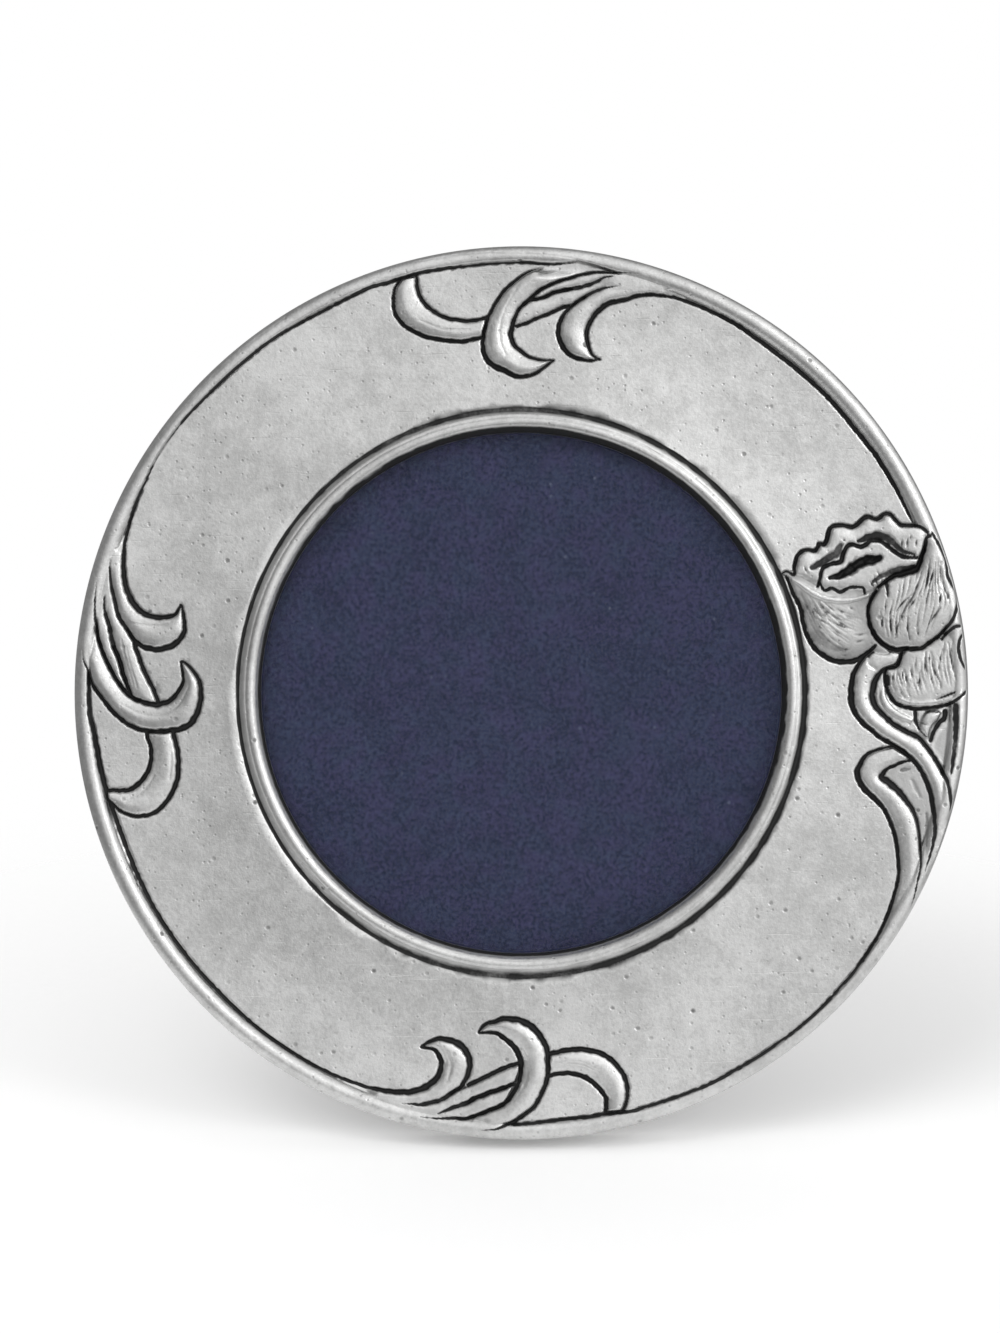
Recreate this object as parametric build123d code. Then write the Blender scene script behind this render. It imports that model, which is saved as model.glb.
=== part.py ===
from build123d import *
import os
from math import cos, radians, sin, sqrt

# Round cast pewter photo frame with a raised plant ornament, standing on a table on its easel leg.
# The frame holds a glass disc, a round card, a filler disc and a covered backing board, which three turn
# buttons keep in. The leg hinges on the backing board and stops at its open angle.
#
# All pieces are first made in the face frame: X to the right, Y up the face, Z out of the front, with
# Z = 0 at the back plane of the rim. The finished frame is then tilted back and set on the table.

# Sizes in millimetres, angles in degrees

# The casting, seen from the front
outer_diameter = 109.0
window_diameter = 63.5
lip_width = 0.6                # narrow inner step of the bead
bead_width = 1.55              # round bead beside the lip
bead_groove_width = 1.0        # groove between the bead and the ground
rim_crown_radius = 1.2         # roundness of the outer rim
rim_crown_sweep = 145          # how far the rim's round goes over, from its outer side
rim_groove_width = 0.6         # cut line between the rim and the ground
CROWN_BAND_COUNT = 3           # flat bands that make the rim's round
BEAD_BAND_COUNT = 3
GROUND_BAND_COUNT = 2

# The casting, heights above the back plane
rim_crest_height = 7.2
ground_outer_height = 6.1
ground_inner_height = 6.5
ground_dish = 0.25             # how far the ground sinks between its two edges
rim_groove_depth = 0.3
bead_groove_depth = 0.45
bead_rise = 0.85               # bead crest above the inner edge of the ground
lip_rise = 0.25                # lip crest above the inner edge of the ground
back_edge = 0.4                # bevel of the rim's back edge

# The casting, seen from the back
rim_back_width = 4.5
lip_overlap = 2.4              # how far the lip covers the edge of the glass

# What lies in the pocket
glazing_thickness = 1.0
card_thickness = 0.4
filler_thickness = 1.0
pocket_clearance = 0.3         # around the discs in the pocket

# Backing board
board_thickness = 2.0
cover_thickness = 0.5
cover_recess = 0.1             # back of the cover below the back plane
board_clearance = 0.3          # around the board and its cover

# Hinge
hinge_height = 20.0            # pin above the centre of the frame
hinge_width = 16.0
leaf_thickness = 0.8
back_leaf_length = 11.0
leg_leaf_length = 15.0
leg_leaf_width = 10.0
leaf_corner_radius = 2.0
knuckle_radius = 1.7
middle_knuckle_width = 6.0
knuckle_gap = 0.15
leaf_gap = 0.3                 # between a leaf and the barrel beside it
pin_radius = 0.8
pin_clearance = 0.05
pin_head_radius = 1.1
pin_head_height = 0.4
heel_width = 4.4
heel_length = 4.5              # stop heel above the pin
heel_gap = 0.3                 # heel to back leaf when the leg is open
rivet_radius = 0.9
rivet_head_radius = 1.6
rivet_head_height = 0.6
rivet_clearance = 0.05
back_rivet_spacing = 10.0
back_rivet_height = 7.3        # above the pin
leg_rivet_spacing = 6.0
leg_rivet_drop = 9.0           # middle of the two rivets below the pin

# Easel leg
lean_angle = 15.0              # how far the frame leans back
leg_open_angle = 27.0
leg_board_thickness = 2.2
leg_cover_thickness = 0.3
leg_top_width = 14.0
leg_foot_width = 25.0
leg_top_corner_radius = 4.0
leg_back_gap = 0.5             # leg to the cover of the board when folded
leg_top_gap = 0.6              # top of the leg below the hinge barrel
leg_spare_length = 8.0         # cut away again by the table plane
leg_cover_lift = 0.3           # leg cover ends above the table

# Turn buttons
button_angles = (90.0, 210.0, 330.0)
button_reach = 6.8             # from the pivot to the round tip's centre
button_pivot_radius = 1.8
button_tip_radius = 1.5
button_thickness = 0.8
button_gap = 0.15
button_rib_width = 0.9
button_rib_height = 0.35
button_rib_gap = 0.3           # rib to the screw's head
screw_radius = 0.8
screw_depth = 3.0
screw_clearance = 0.05
screw_head_radius = 1.5
screw_head_height = 0.8
screw_slot_width = 0.35
screw_slot_depth = 0.35

# Raised ornament
frond_rise = 1.25              # ridge of the widest frond above the ground
under_frond_rise = 0.95        # ridge of the frond that passes below another
stem_rise = 1.0
ornament_root = 0.45           # how deep the lowest raised forms go into the face
ornament_root_step = 0.15      # forms that cross end at different depths
frond_edge_rise = 0.2          # height of a frond's edges above the ground
melt_distance = 0.001          # corners nearer than this become one where raised forms join the face
petal_rise = 1.7
petal_edge_rise = 0.35
calyx_rise = 1.2
mouth_rise = 1.5
mouth_sink = 0.9               # depth of the cup inside the frilled mouth
frill_depth = 0.45             # how far a lobe of the frill stands out
FRILL_LOBE_COUNT = 15

overrun = 1.0                  # how far cutting tools run past a face

# Sizes that follow

outer_radius = outer_diameter / 2
window_radius = window_diameter / 2
lip_outer_radius = window_radius + lip_width
bead_outer_radius = lip_outer_radius + bead_width
bead_groove_radius = bead_outer_radius + bead_groove_width
rim_centre_radius = outer_radius - rim_crown_radius
rim_line_radius = rim_centre_radius + rim_crown_radius * cos(radians(rim_crown_sweep))
band_width = rim_line_radius - bead_groove_radius

cover_back = cover_recess
board_back = cover_back + cover_thickness
board_front = board_back + board_thickness
filler_front = board_front + filler_thickness
card_front = filler_front + card_thickness
glazing_front = card_front + glazing_thickness

pocket_radius = window_radius + lip_overlap
disc_radius = pocket_radius - pocket_clearance
rim_inner_radius = outer_radius - rim_back_width
board_radius = rim_inner_radius - board_clearance

back_leaf_back = cover_back - leaf_thickness
leg_front = cover_back - leg_back_gap
leg_board_back = leg_front - leg_board_thickness
leg_cover_back = leg_board_back - leg_cover_thickness
leg_leaf_back = leg_cover_back - leaf_thickness
pin_depth = leg_leaf_back + knuckle_radius
leg_top = hinge_height - knuckle_radius - leg_top_gap

button_pivot = outer_radius - rim_back_width / 2
button_front = -button_gap
button_back = button_front - button_thickness
screw_head_front = button_back - button_gap


def ring_point(radius, angle):
    """Point in the face plane at a radius and an angle from the right."""
    return Vector(radius * cos(radians(angle)), radius * sin(radians(angle)), 0)


def band_point(angle, band_share):
    """Point on the ground band: share 0 is at the bead's groove and 1 is at the rim line."""
    return ring_point(bead_groove_radius + band_share * band_width, angle)


def disc(radius, low, high):
    """Flat disc round the frame's centre between two heights."""
    return Pos(0, 0, low) * Cylinder(radius, high - low, align=(Align.CENTER, Align.CENTER, Align.MIN))


def upright(outline, low, high):
    """Prism of a face-plane outline between two heights."""
    return Pos(0, 0, low) * extrude(outline, high - low)


# The casting

def banded(curve, bands):
    """Points along a curve that turn it into flat bands, both ends included."""
    return [curve @ (step / bands) for step in range(bands + 1)]


def casting_profile():
    """Half section of the casting, radius along X and height along Z."""
    crown = CenterArc(
        (rim_centre_radius, rim_crest_height - rim_crown_radius), rim_crown_radius, 0, rim_crown_sweep
    )
    ground_start = Vector(rim_line_radius - rim_groove_width, ground_outer_height)
    ground_end = Vector(bead_groove_radius, ground_inner_height)
    ground = ThreePointArc(ground_start, (ground_start + ground_end) / 2 - Vector(0, ground_dish), ground_end)
    bead = ThreePointArc(
        (bead_outer_radius, ground_inner_height - bead_groove_depth / 2),
        (bead_outer_radius - bead_width / 2, ground_inner_height + bead_rise),
        (lip_outer_radius, ground_inner_height),
    )
    section = Polyline(
        (rim_inner_radius, 0),
        (outer_radius - back_edge, 0),
        (outer_radius, back_edge),
        *banded(crown, CROWN_BAND_COUNT),
        (rim_line_radius - rim_groove_width / 2, ground_outer_height - rim_groove_depth),
        *banded(ground, GROUND_BAND_COUNT),
        (bead_groove_radius - bead_groove_width / 2, ground_inner_height - bead_groove_depth),
        *banded(bead, BEAD_BAND_COUNT),
        (lip_outer_radius - lip_width / 2, ground_inner_height + lip_rise),
        (window_radius, ground_inner_height),
        (window_radius, glazing_front),
        (pocket_radius, glazing_front),
        (pocket_radius, board_front),
        (rim_inner_radius, board_front),
        close=True,
    )
    return Plane.XZ * make_face(section)


# Fronds: angle from the plant's axis, share of the band, share of the full frond width.
STEEPEST_SHARE = 0.95          # a frond's ridge is at most this high for its half width
FROND_WIDTH_SHARE = 0.19       # full frond width, of the band's width
BIG_FROND_SHARES = (
    (-12.6, 1.06, 0.25), (-5.6, 0.96, 0.48), (-1.1, 0.84, 0.70), (2.0, 0.69, 0.86), (3.8, 0.53, 0.98),
    (3.6, 0.40, 0.98), (1.4, 0.30, 0.78), (-5.0, 0.32, 0.10),
)
SHORT_FROND_SHARES = (
    (-18.0, 1.02, 0.25), (-12.6, 0.86, 0.43), (-9.2, 0.70, 0.68), (-8.3, 0.54, 0.86), (-9.6, 0.43, 0.62),
    (-13.0, 0.40, 0.10),
)
UNDER_FROND_SHARES = (
    (-15.0, 0.99, 0.22), (-7.4, 0.81, 0.40), (0.2, 0.64, 0.56), (5.6, 0.56, 0.68), (10.2, 0.56, 0.80),
    (13.9, 0.66, 0.90), (16.1, 0.82, 0.88), (15.2, 1.04, 0.52),
)
# The plants at the top, the left and the bottom: angle of the axis and share of the full size.
PLANT_SHARES = ((90.0, 1.0), (180.3, 1.0), (268.0, 0.92))

# Stems of the flower: angle from the right, share of the band, share of the full frond width.
FLOWER_STEM_SHARES = (
    (6.2, 0.53, 0.44), (3.6, 0.41, 0.49), (0.2, 0.37, 0.50), (-3.2, 0.45, 0.53), (-6.4, 0.65, 0.53),
    (-10.2, 0.87, 0.53), (-14.4, 1.02, 0.48), (-19.0, 1.07, 0.35),
)
LEAF_STEM_SHARES = (
    (-8.0, 0.76, 0.40), (-9.3, 0.63, 0.42), (-11.6, 0.52, 0.46), (-14.4, 0.55, 0.52), (-17.6, 0.75, 0.62),
    (-21.9, 0.92, 0.68), (-26.5, 1.01, 0.58), (-31.7, 1.06, 0.40),
)
BUD_STEM_SHARES = (
    (3.0, 0.55, 0.26), (-0.6, 0.55, 0.36), (-3.2, 0.66, 0.40), (-5.8, 0.88, 0.36),
)

# Petal outlines: angle from the right and share of the band, one list for each stretch between corners.
LEFT_PETAL_SHARES = (
    ((24.6, 0.01), (21.8, 0.09), (19.0, 0.18), (17.2, 0.30), (16.3, 0.43), (15.9, 0.57)),
    ((15.9, 0.57), (14.2, 0.52), (12.0, 0.50), (9.8, 0.53), (7.4, 0.56)),
    ((7.4, 0.56), (6.4, 0.45), (5.5, 0.33), (5.7, 0.20), (7.4, 0.11), (10.2, 0.05), (14.0, 0.02),
     (19.5, 0.01), (24.6, 0.01)),
)
RIGHT_PETAL_SHARES = (
    ((21.5, 1.05), (19.6, 0.97), (17.5, 0.90), (17.1, 0.78), (16.6, 0.67), (15.6, 0.57)),
    ((15.6, 0.57), (13.8, 0.50), (11.6, 0.48), (9.4, 0.51), (7.6, 0.57), (6.6, 0.67), (6.6, 0.79),
     (7.6, 0.93), (9.4, 1.03), (11.9, 1.08), (14.6, 1.07), (18.2, 1.08), (21.5, 1.05)),
)
CALYX_SHARES = (
    ((6.9, 0.66), (7.0, 0.80), (7.6, 0.94), (8.9, 1.07)),
    ((8.9, 1.07), (6.6, 1.08), (4.0, 1.08), (1.0, 1.07)),
    ((1.0, 1.07), (-1.2, 1.00), (-2.1, 0.86), (-2.0, 0.74), (-1.2, 0.63), (0.6, 0.55), (3.0, 0.52),
     (4.8, 0.58), (6.9, 0.66)),
)
# From the lowest layer up: shares and rise. A petal also has its crest's place and the share of the band
# over which it falls to its edge.
PLANT_FRONDS = (
    (UNDER_FROND_SHARES, under_frond_rise), (SHORT_FROND_SHARES, frond_rise), (BIG_FROND_SHARES, frond_rise),
)
FLOWER_STEMS = (
    (BUD_STEM_SHARES, under_frond_rise), (LEAF_STEM_SHARES, stem_rise), (FLOWER_STEM_SHARES, stem_rise),
)
PETALS = (
    (CALYX_SHARES, (3.0, 0.80), calyx_rise, 0.32), (LEFT_PETAL_SHARES, (12.0, 0.32), petal_rise, 0.40),
    (RIGHT_PETAL_SHARES, (12.5, 0.78), petal_rise, 0.36),
)
MOUTH_CENTRE_SHARES = (21.4, 0.57)
MOUTH_LENGTH_SHARE = 0.46      # half length of the frilled mouth, of the band's width
MOUTH_WIDTH_SHARE = 0.25
MOUTH_TURN = 14.0


def root_depth(layer):
    """Depth of the root of the forms in a layer; each layer lies over the one before it."""
    return ornament_root + layer * ornament_root_step


def frond(stations, rise, layer):
    """Raised frond with a ridge: sections square to its line, one at each (point, half width)."""
    root = root_depth(layer)
    widest = max(half for _, half in stations)
    sections = []
    for index, (point, half) in enumerate(stations):
        before = stations[max(index - 1, 0)][0]
        after = stations[min(index + 1, len(stations) - 1)][0]
        along = (after - before).normalized()
        across = Vector(-along.Y, along.X, 0)
        plane = Plane(
            origin=(point.X, point.Y, ground_outer_height), x_dir=tuple(across), z_dir=tuple(along)
        )
        ridge = frond_edge_rise + min((rise - frond_edge_rise) * sqrt(half / widest), half * STEEPEST_SHARE)
        outline = Polyline(
            (-half, -root), (-half, frond_edge_rise), (0, ridge), (half, frond_edge_rise), (half, -root), close=True
        )
        sections.append(plane * make_face(outline))
    return loft(sections, ruled=True)


def frond_stations(shares, axis_angle=0.0, size=1.0):
    """Centre points and half widths of a frond. A smaller plant keeps its roots at the rim."""
    return [
        (
            band_point(axis_angle + angle * size, 1 - (1 - share) * size),
            width_share * FROND_WIDTH_SHARE * band_width * size / 2,
        )
        for angle, share, width_share in shares
    ]


def petal(outline_shares, centre_shares, rise, spread, layer):
    """Domed petal: its outline as a prism under a round dome that drops to the petal's edge at the spread."""
    with BuildLine() as outline:
        for stretch in outline_shares:
            Spline([band_point(angle, share) for angle, share in stretch])
    prism = upright(
        make_face(outline.line), ground_outer_height - root_depth(layer), ground_outer_height + rise + overrun
    )
    drop = rise - petal_edge_rise
    dome_radius = (spread ** 2 + drop ** 2) / (2 * drop)
    centre = band_point(*centre_shares)
    dome = Pos(centre.X, centre.Y, ground_outer_height + rise - dome_radius) * Sphere(dome_radius)
    return prism & dome


def flower_mouth(layer):
    """Frilled mouth of the trumpet: an oval edged with round lobes, with a round cup sunk into it."""
    half_length = MOUTH_LENGTH_SHARE * band_width
    half_width = MOUTH_WIDTH_SHARE * band_width

    def on_oval(lobes, stand_out):
        turn = radians(360 * lobes / FRILL_LOBE_COUNT)
        return (half_length + stand_out) * cos(turn), (half_width + stand_out) * sin(turn)

    with BuildLine() as outline:
        for lobe in range(FRILL_LOBE_COUNT):
            ThreePointArc(on_oval(lobe, 0), on_oval(lobe + 0.5, frill_depth), on_oval(lobe + 1, 0))
    oval = upright(make_face(outline.line), -root_depth(layer), mouth_rise)
    cup_radius = (half_width ** 2 + mouth_sink ** 2) / (2 * mouth_sink)
    cup = Pos(0, 0, mouth_rise - mouth_sink + cup_radius) * Sphere(cup_radius)
    centre = band_point(*MOUTH_CENTRE_SHARES)
    return Pos(centre.X, centre.Y, ground_outer_height) * Rot(0, 0, MOUTH_TURN) * (oval - cup)


def ornament():
    """All raised forms on the face, as a list of solids that sink into it."""
    forms = []
    for axis_angle, size in PLANT_SHARES:
        for layer, (shares, rise) in enumerate(PLANT_FRONDS):
            forms.append(frond(frond_stations(shares, axis_angle, size), rise * size, layer))
    for layer, (shares, rise) in enumerate(FLOWER_STEMS):
        forms.append(frond(frond_stations(shares), rise, layer))
    for layer, (shares, centre_shares, rise, spread_share) in enumerate(PETALS):
        forms.append(petal(shares, centre_shares, rise, spread_share * band_width, len(FLOWER_STEMS) + layer))
    forms.append(flower_mouth(len(FLOWER_STEMS) + len(PETALS)))
    return forms


def front_frame():
    """The pewter casting: revolved body, raised ornament and the pilot holes of the turn-button screws."""
    body = revolve(casting_profile(), Axis.Z)
    for form in ornament():
        body = body.fuse(form, tol=melt_distance)
    for angle in button_angles:
        place = ring_point(button_pivot, angle)
        body -= Pos(place.X, place.Y, 0) * Cylinder(
            screw_radius + screw_clearance, 2 * screw_depth, align=(Align.CENTER, Align.CENTER, Align.CENTER)
        )
    return body


# What the pocket holds, and the back

def rivet_holes(places, low, high):
    """Cutting cylinders for rivets at the given places."""
    return [
        Pos(x, y, low) * Cylinder(
            rivet_radius + rivet_clearance, high - low, align=(Align.CENTER, Align.CENTER, Align.MIN)
        )
        for x, y in places
    ]


back_rivet_places = tuple(
    (side * back_rivet_spacing / 2, hinge_height + back_rivet_height) for side in (-1, 1)
)
leg_rivet_places = tuple(
    (0, hinge_height - leg_rivet_drop + side * leg_rivet_spacing / 2) for side in (-1, 1)
)


def backing_board():
    """Hardboard disc in the hollow of the casting."""
    board = disc(board_radius, board_back, board_front)
    for hole in rivet_holes(back_rivet_places, board_back - overrun, board_front + overrun):
        board -= hole
    return board


def back_cover():
    """Flocked cover on the back of the board."""
    cover = disc(board_radius, cover_back, board_back)
    for hole in rivet_holes(back_rivet_places, cover_back - overrun, board_back + overrun):
        cover -= hole
    return cover


def rivet(place, low, high):
    """Flat-head rivet, head at the back, shank up to a height."""
    x, y = place
    head = Pos(x, y, low - rivet_head_height) * Cylinder(
        rivet_head_radius, rivet_head_height, align=(Align.CENTER, Align.CENTER, Align.MIN)
    )
    shank = Pos(x, y, low) * Cylinder(rivet_radius, high - low, align=(Align.CENTER, Align.CENTER, Align.MIN))
    return head + shank


# Hinge

def barrel(left, right):
    """Hinge knuckle along X between two places, round the pin, with its bore."""
    middle = (left + right) / 2
    place = Pos(middle, hinge_height, pin_depth) * Rot(0, 90, 0)
    return place * (
        Cylinder(knuckle_radius, right - left) - Cylinder(pin_radius + pin_clearance, right - left + overrun)
    )


def plate(left, right, bottom, top, low, high):
    """Flat rectangular sheet."""
    return Pos(left, bottom, low) * Box(
        right - left, top - bottom, high - low, align=(Align.MIN, Align.MIN, Align.MIN)
    )


def hinge_back_leaf():
    """Leaf on the backing board, with the two outer knuckles."""
    half = hinge_width / 2
    inner = middle_knuckle_width / 2 + knuckle_gap
    top = hinge_height + back_leaf_length
    leaf = plate(-half, half, hinge_height, top, back_leaf_back, cover_back)
    corners = leaf.edges().filter_by(Axis.Z).group_by(Axis.Y)[-1]
    leaf = fillet(corners, leaf_corner_radius)
    leaf -= plate(
        -inner, inner, hinge_height - overrun, hinge_height + knuckle_radius + leaf_gap,
        back_leaf_back - overrun, cover_back + overrun,
    )
    for hole in rivet_holes(back_rivet_places, back_leaf_back - overrun, cover_back + overrun):
        leaf -= hole
    for left, right in ((-half, -inner), (inner, half)):
        bore = Pos((left + right) / 2, hinge_height, pin_depth) * Rot(0, 90, 0) * Cylinder(
            pin_radius + pin_clearance, right - left + overrun
        )
        leaf = leaf + barrel(left, right) - bore
    return leaf


def hinge_pin():
    """Plain pin through the three knuckles, headed at both ends."""
    place = Pos(0, hinge_height, pin_depth) * Rot(0, 90, 0)
    pin = Cylinder(pin_radius, hinge_width)
    for side in (-1, 1):
        pin += Pos(0, 0, side * (hinge_width + pin_head_height) / 2) * Cylinder(pin_head_radius, pin_head_height)
    return place * pin


def opened(shape, angle=leg_open_angle):
    """Turns a piece of the leg about the pin, from folded to open."""
    pivot = Pos(0, hinge_height, pin_depth)
    return pivot * Rot(angle, 0, 0) * pivot.inverse() * shape


def hinge_leg_leaf():
    """Leaf on the back of the leg, with the middle knuckle and the heel that stops the leg."""
    half = middle_knuckle_width / 2
    shoulder = hinge_height - knuckle_radius - leaf_gap
    bottom = hinge_height - leg_leaf_length
    leaf = plate(-leg_leaf_width / 2, leg_leaf_width / 2, bottom, shoulder, leg_leaf_back, leg_cover_back)
    leaf = fillet(leaf.edges().filter_by(Axis.Z).group_by(Axis.Y)[0], leaf_corner_radius)
    leaf += plate(-half, half, bottom + leaf_corner_radius, hinge_height, leg_leaf_back, leg_cover_back)
    for hole in rivet_holes(leg_rivet_places, leg_leaf_back - overrun, leg_cover_back + overrun):
        leaf -= hole
    leaf = opened(leaf)
    heel_back = back_leaf_back - heel_gap - leaf_thickness
    heel = plate(
        -heel_width / 2, heel_width / 2, hinge_height, hinge_height + heel_length,
        heel_back, heel_back + leaf_thickness,
    )
    bore = Pos(0, hinge_height, pin_depth) * Rot(0, 90, 0) * Cylinder(
        pin_radius + pin_clearance, middle_knuckle_width + overrun
    )
    return leaf + barrel(-half, half) + heel - bore


# Easel leg, made folded against the back and then opened

def leg_outline(inset):
    """Tapered outline of the leg, drawn in by an inset, running on past the table."""
    foot = -outer_radius - leg_spare_length
    top = leg_top - inset
    half_top = leg_top_width / 2 - inset
    half_foot = leg_foot_width / 2 - inset
    with BuildSketch() as outline:
        with BuildLine():
            Polyline((-half_foot, foot), (half_foot, foot), (half_top, top), (-half_top, top), close=True)
        make_face()
        fillet(outline.vertices().group_by(Axis.Y)[-1], leg_top_corner_radius - inset)
    return outline.sketch


def leg_board():
    """Hardboard core of the leg."""
    board = upright(leg_outline(leg_cover_thickness), leg_board_back, leg_front)
    for hole in rivet_holes(leg_rivet_places, leg_board_back - overrun, leg_front + overrun):
        board -= hole
    return opened(board)


def leg_cover():
    """Flocked cover on the back and the edges of the leg."""
    cover = upright(leg_outline(0), leg_cover_back, leg_front)
    cover -= upright(leg_outline(leg_cover_thickness), leg_board_back, leg_front + overrun)
    for hole in rivet_holes(leg_rivet_places, leg_cover_back - overrun, leg_board_back + overrun):
        cover -= hole
    return opened(cover)


def leg_rivets():
    """Rivets of the leg leaf, heads at the back, set flush at the front."""
    return [opened(rivet(place, leg_leaf_back, leg_front)) for place in leg_rivet_places]


# Turn buttons

def at_button(angle, shape):
    """Places a piece made at the origin, reach towards -Y, at a pivot on the rim."""
    place = ring_point(button_pivot, angle)
    return Pos(place.X, place.Y, 0) * Rot(0, 0, angle - 90) * shape


def turn_button(angle):
    """Flat button with a round tip and a pressed rib, pointing inwards over the board."""
    with BuildSketch() as outline:
        Circle(button_pivot_radius)
        with Locations((0, -button_reach)):
            Circle(button_tip_radius)
        make_hull()
    sheet = upright(outline.sketch, button_back, button_front)
    rib_start = screw_head_radius + button_rib_gap
    rib_length = button_reach - rib_start
    rib = Pos(0, -rib_start - rib_length / 2, button_back) * Rot(90, 0, 0) * Cylinder(
        button_rib_width / 2, rib_length
    )
    rib &= Pos(0, -button_reach / 2, button_back - button_rib_height) * Box(
        button_rib_width, button_reach, button_rib_height + button_thickness / 2,
        align=(Align.CENTER, Align.CENTER, Align.MIN),
    )
    hole = Cylinder(screw_radius + screw_clearance, 2 * (overrun - button_back))
    return at_button(angle, sheet + rib - hole)


def button_screw(angle):
    """Slotted cheese-head screw of a turn button."""
    head_back = screw_head_front - screw_head_height
    head = Pos(0, 0, head_back) * Cylinder(
        screw_head_radius, screw_head_height, align=(Align.CENTER, Align.CENTER, Align.MIN)
    )
    shank = Pos(0, 0, screw_head_front) * Cylinder(
        screw_radius, screw_depth - screw_head_front - screw_clearance,
        align=(Align.CENTER, Align.CENTER, Align.MIN),
    )
    slot = Pos(0, 0, head_back) * Box(
        2 * (screw_head_radius + overrun), screw_slot_width, 2 * screw_slot_depth
    )
    return at_button(angle, head + shank - slot)


# Standing on the table

def tilted(shape):
    """Turns a piece from the face frame to the leaning frame, still round the frame's centre."""
    return Rot(90 - lean_angle, 0, 0) * shape


# Height of the frame's centre above the table, which the bevelled back edge of the rim touches.
centre_height = outer_radius * cos(radians(lean_angle)) - back_edge * sin(radians(lean_angle))


def above_table(shape, lift=0.0):
    """Cuts off what lies below the table, or below a height over it."""
    reach = outer_diameter * 2
    ground = Pos(0, 0, lift - centre_height) * Box(
        reach, reach, outer_radius, align=(Align.CENTER, Align.CENTER, Align.MAX)
    )
    return shape - ground


def build():
    """Makes every piece, leaning on its leg, round the frame's centre."""
    pieces = {
        "front_frame": tilted(front_frame()),
        "glazing_disc": tilted(disc(disc_radius, card_front, glazing_front)),
        "display_card": tilted(disc(disc_radius, filler_front, card_front)),
        "filler_disc": tilted(disc(disc_radius, board_front, filler_front)),
        "backing_board": tilted(backing_board()),
        "back_cover": tilted(back_cover()),
        "hinge_back_leaf": tilted(hinge_back_leaf()),
        "hinge_pin": tilted(hinge_pin()),
        "hinge_back_rivets": [
            tilted(rivet(place, back_leaf_back, board_front)) for place in back_rivet_places
        ],
        "hinge_leg_leaf": tilted(hinge_leg_leaf()),
        "hinge_leg_rivets": [tilted(one) for one in leg_rivets()],
        "easel_leg": above_table(tilted(leg_board())),
        "leg_cover": above_table(tilted(leg_cover()), leg_cover_lift),
        "turn_button_screws": [tilted(button_screw(angle)) for angle in button_angles],
    }
    for name, angle in zip(("top", "left", "right"), button_angles):
        pieces[f"turn_button_{name}"] = tilted(turn_button(angle))
    return pieces


def solids_of(piece):
    """Every solid of a piece, which may be a list of shapes."""
    shapes = piece if isinstance(piece, list) else [piece]
    return [solid for shape in shapes for solid in shape.solids()]


pieces = {name: solids_of(piece) for name, piece in build().items()}
whole = Compound([solid for solids in pieces.values() for solid in solids]).bounding_box()
place_on_table = Pos(0, -(whole.min.Y + whole.max.Y) / 2, centre_height)

os.makedirs("parts", exist_ok=True)
for name, solids in pieces.items():
    placed = [place_on_table * solid for solid in solids]
    export_step(placed[0] if len(placed) == 1 else Compound(placed), f"parts/{name}.step")


def in_row_frame(x, y, z):
    """A point of the face frame, where it lies once the frame stands."""
    return (place_on_table * Rot(90 - lean_angle, 0, 0) * Pos(x, y, z)).position


print("size", [round(v, 2) for v in (whole.size.X, whole.size.Y, whole.size.Z)])
print("hinge axis through", in_row_frame(0, hinge_height, pin_depth))
for angle in button_angles:
    spot = ring_point(button_pivot, angle)
    print("button pivot", angle, in_row_frame(spot.X, spot.Y, button_back))
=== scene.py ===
"""Dresses a round pewter photo frame: the cast relief, its glass and card, the flocked back and the easel."""

import logging
import math
import random
from dataclasses import dataclass, field
from enum import Enum
from typing import Iterable, Optional, Sequence, Union

import bmesh
import bpy
import numpy as np
from mathutils import Matrix, Vector

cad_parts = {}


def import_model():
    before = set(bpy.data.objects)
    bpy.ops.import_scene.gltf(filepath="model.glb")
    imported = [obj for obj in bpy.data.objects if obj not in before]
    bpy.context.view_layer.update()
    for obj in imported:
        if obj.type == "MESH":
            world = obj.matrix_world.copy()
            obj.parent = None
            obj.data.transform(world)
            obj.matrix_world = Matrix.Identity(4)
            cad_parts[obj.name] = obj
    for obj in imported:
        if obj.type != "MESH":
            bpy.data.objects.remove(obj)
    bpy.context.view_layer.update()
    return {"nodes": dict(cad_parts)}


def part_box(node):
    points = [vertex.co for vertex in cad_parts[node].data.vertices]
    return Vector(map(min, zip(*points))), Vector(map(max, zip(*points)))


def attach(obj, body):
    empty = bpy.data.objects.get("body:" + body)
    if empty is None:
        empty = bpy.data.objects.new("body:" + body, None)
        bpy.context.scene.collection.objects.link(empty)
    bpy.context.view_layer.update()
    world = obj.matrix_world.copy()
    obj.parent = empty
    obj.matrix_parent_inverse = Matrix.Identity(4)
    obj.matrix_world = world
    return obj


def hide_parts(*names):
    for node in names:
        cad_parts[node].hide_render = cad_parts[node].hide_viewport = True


LOG = logging.getLogger("photo_frame")
MM = 0.001
LEAN = math.radians(15)
LEG_OPENING = math.radians(27)
GLASS_MIDDLE = 4.5  # millimetres in front of the back plane
SAME_PLACE = 0.002  # millimetres between corners that are merged
ROUNDED_FROM = math.radians(40)
SHARP_FROM = math.radians(35)

Point = tuple[float, float]
Colour = tuple[float, float, float]


class Body(Enum):
    """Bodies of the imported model."""

    FRAME = "frame"
    LEG = "leg"
    BUTTON_TOP = "button_top"
    BUTTON_LEFT = "button_left"
    BUTTON_RIGHT = "button_right"


class Slot(Enum):
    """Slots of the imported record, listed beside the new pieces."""

    PEWTER = "pewter"
    GLASS = "glass"
    BOARD = "board"
    COVER = "cover"
    STEEL = "steel"


# Shader trees


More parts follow.
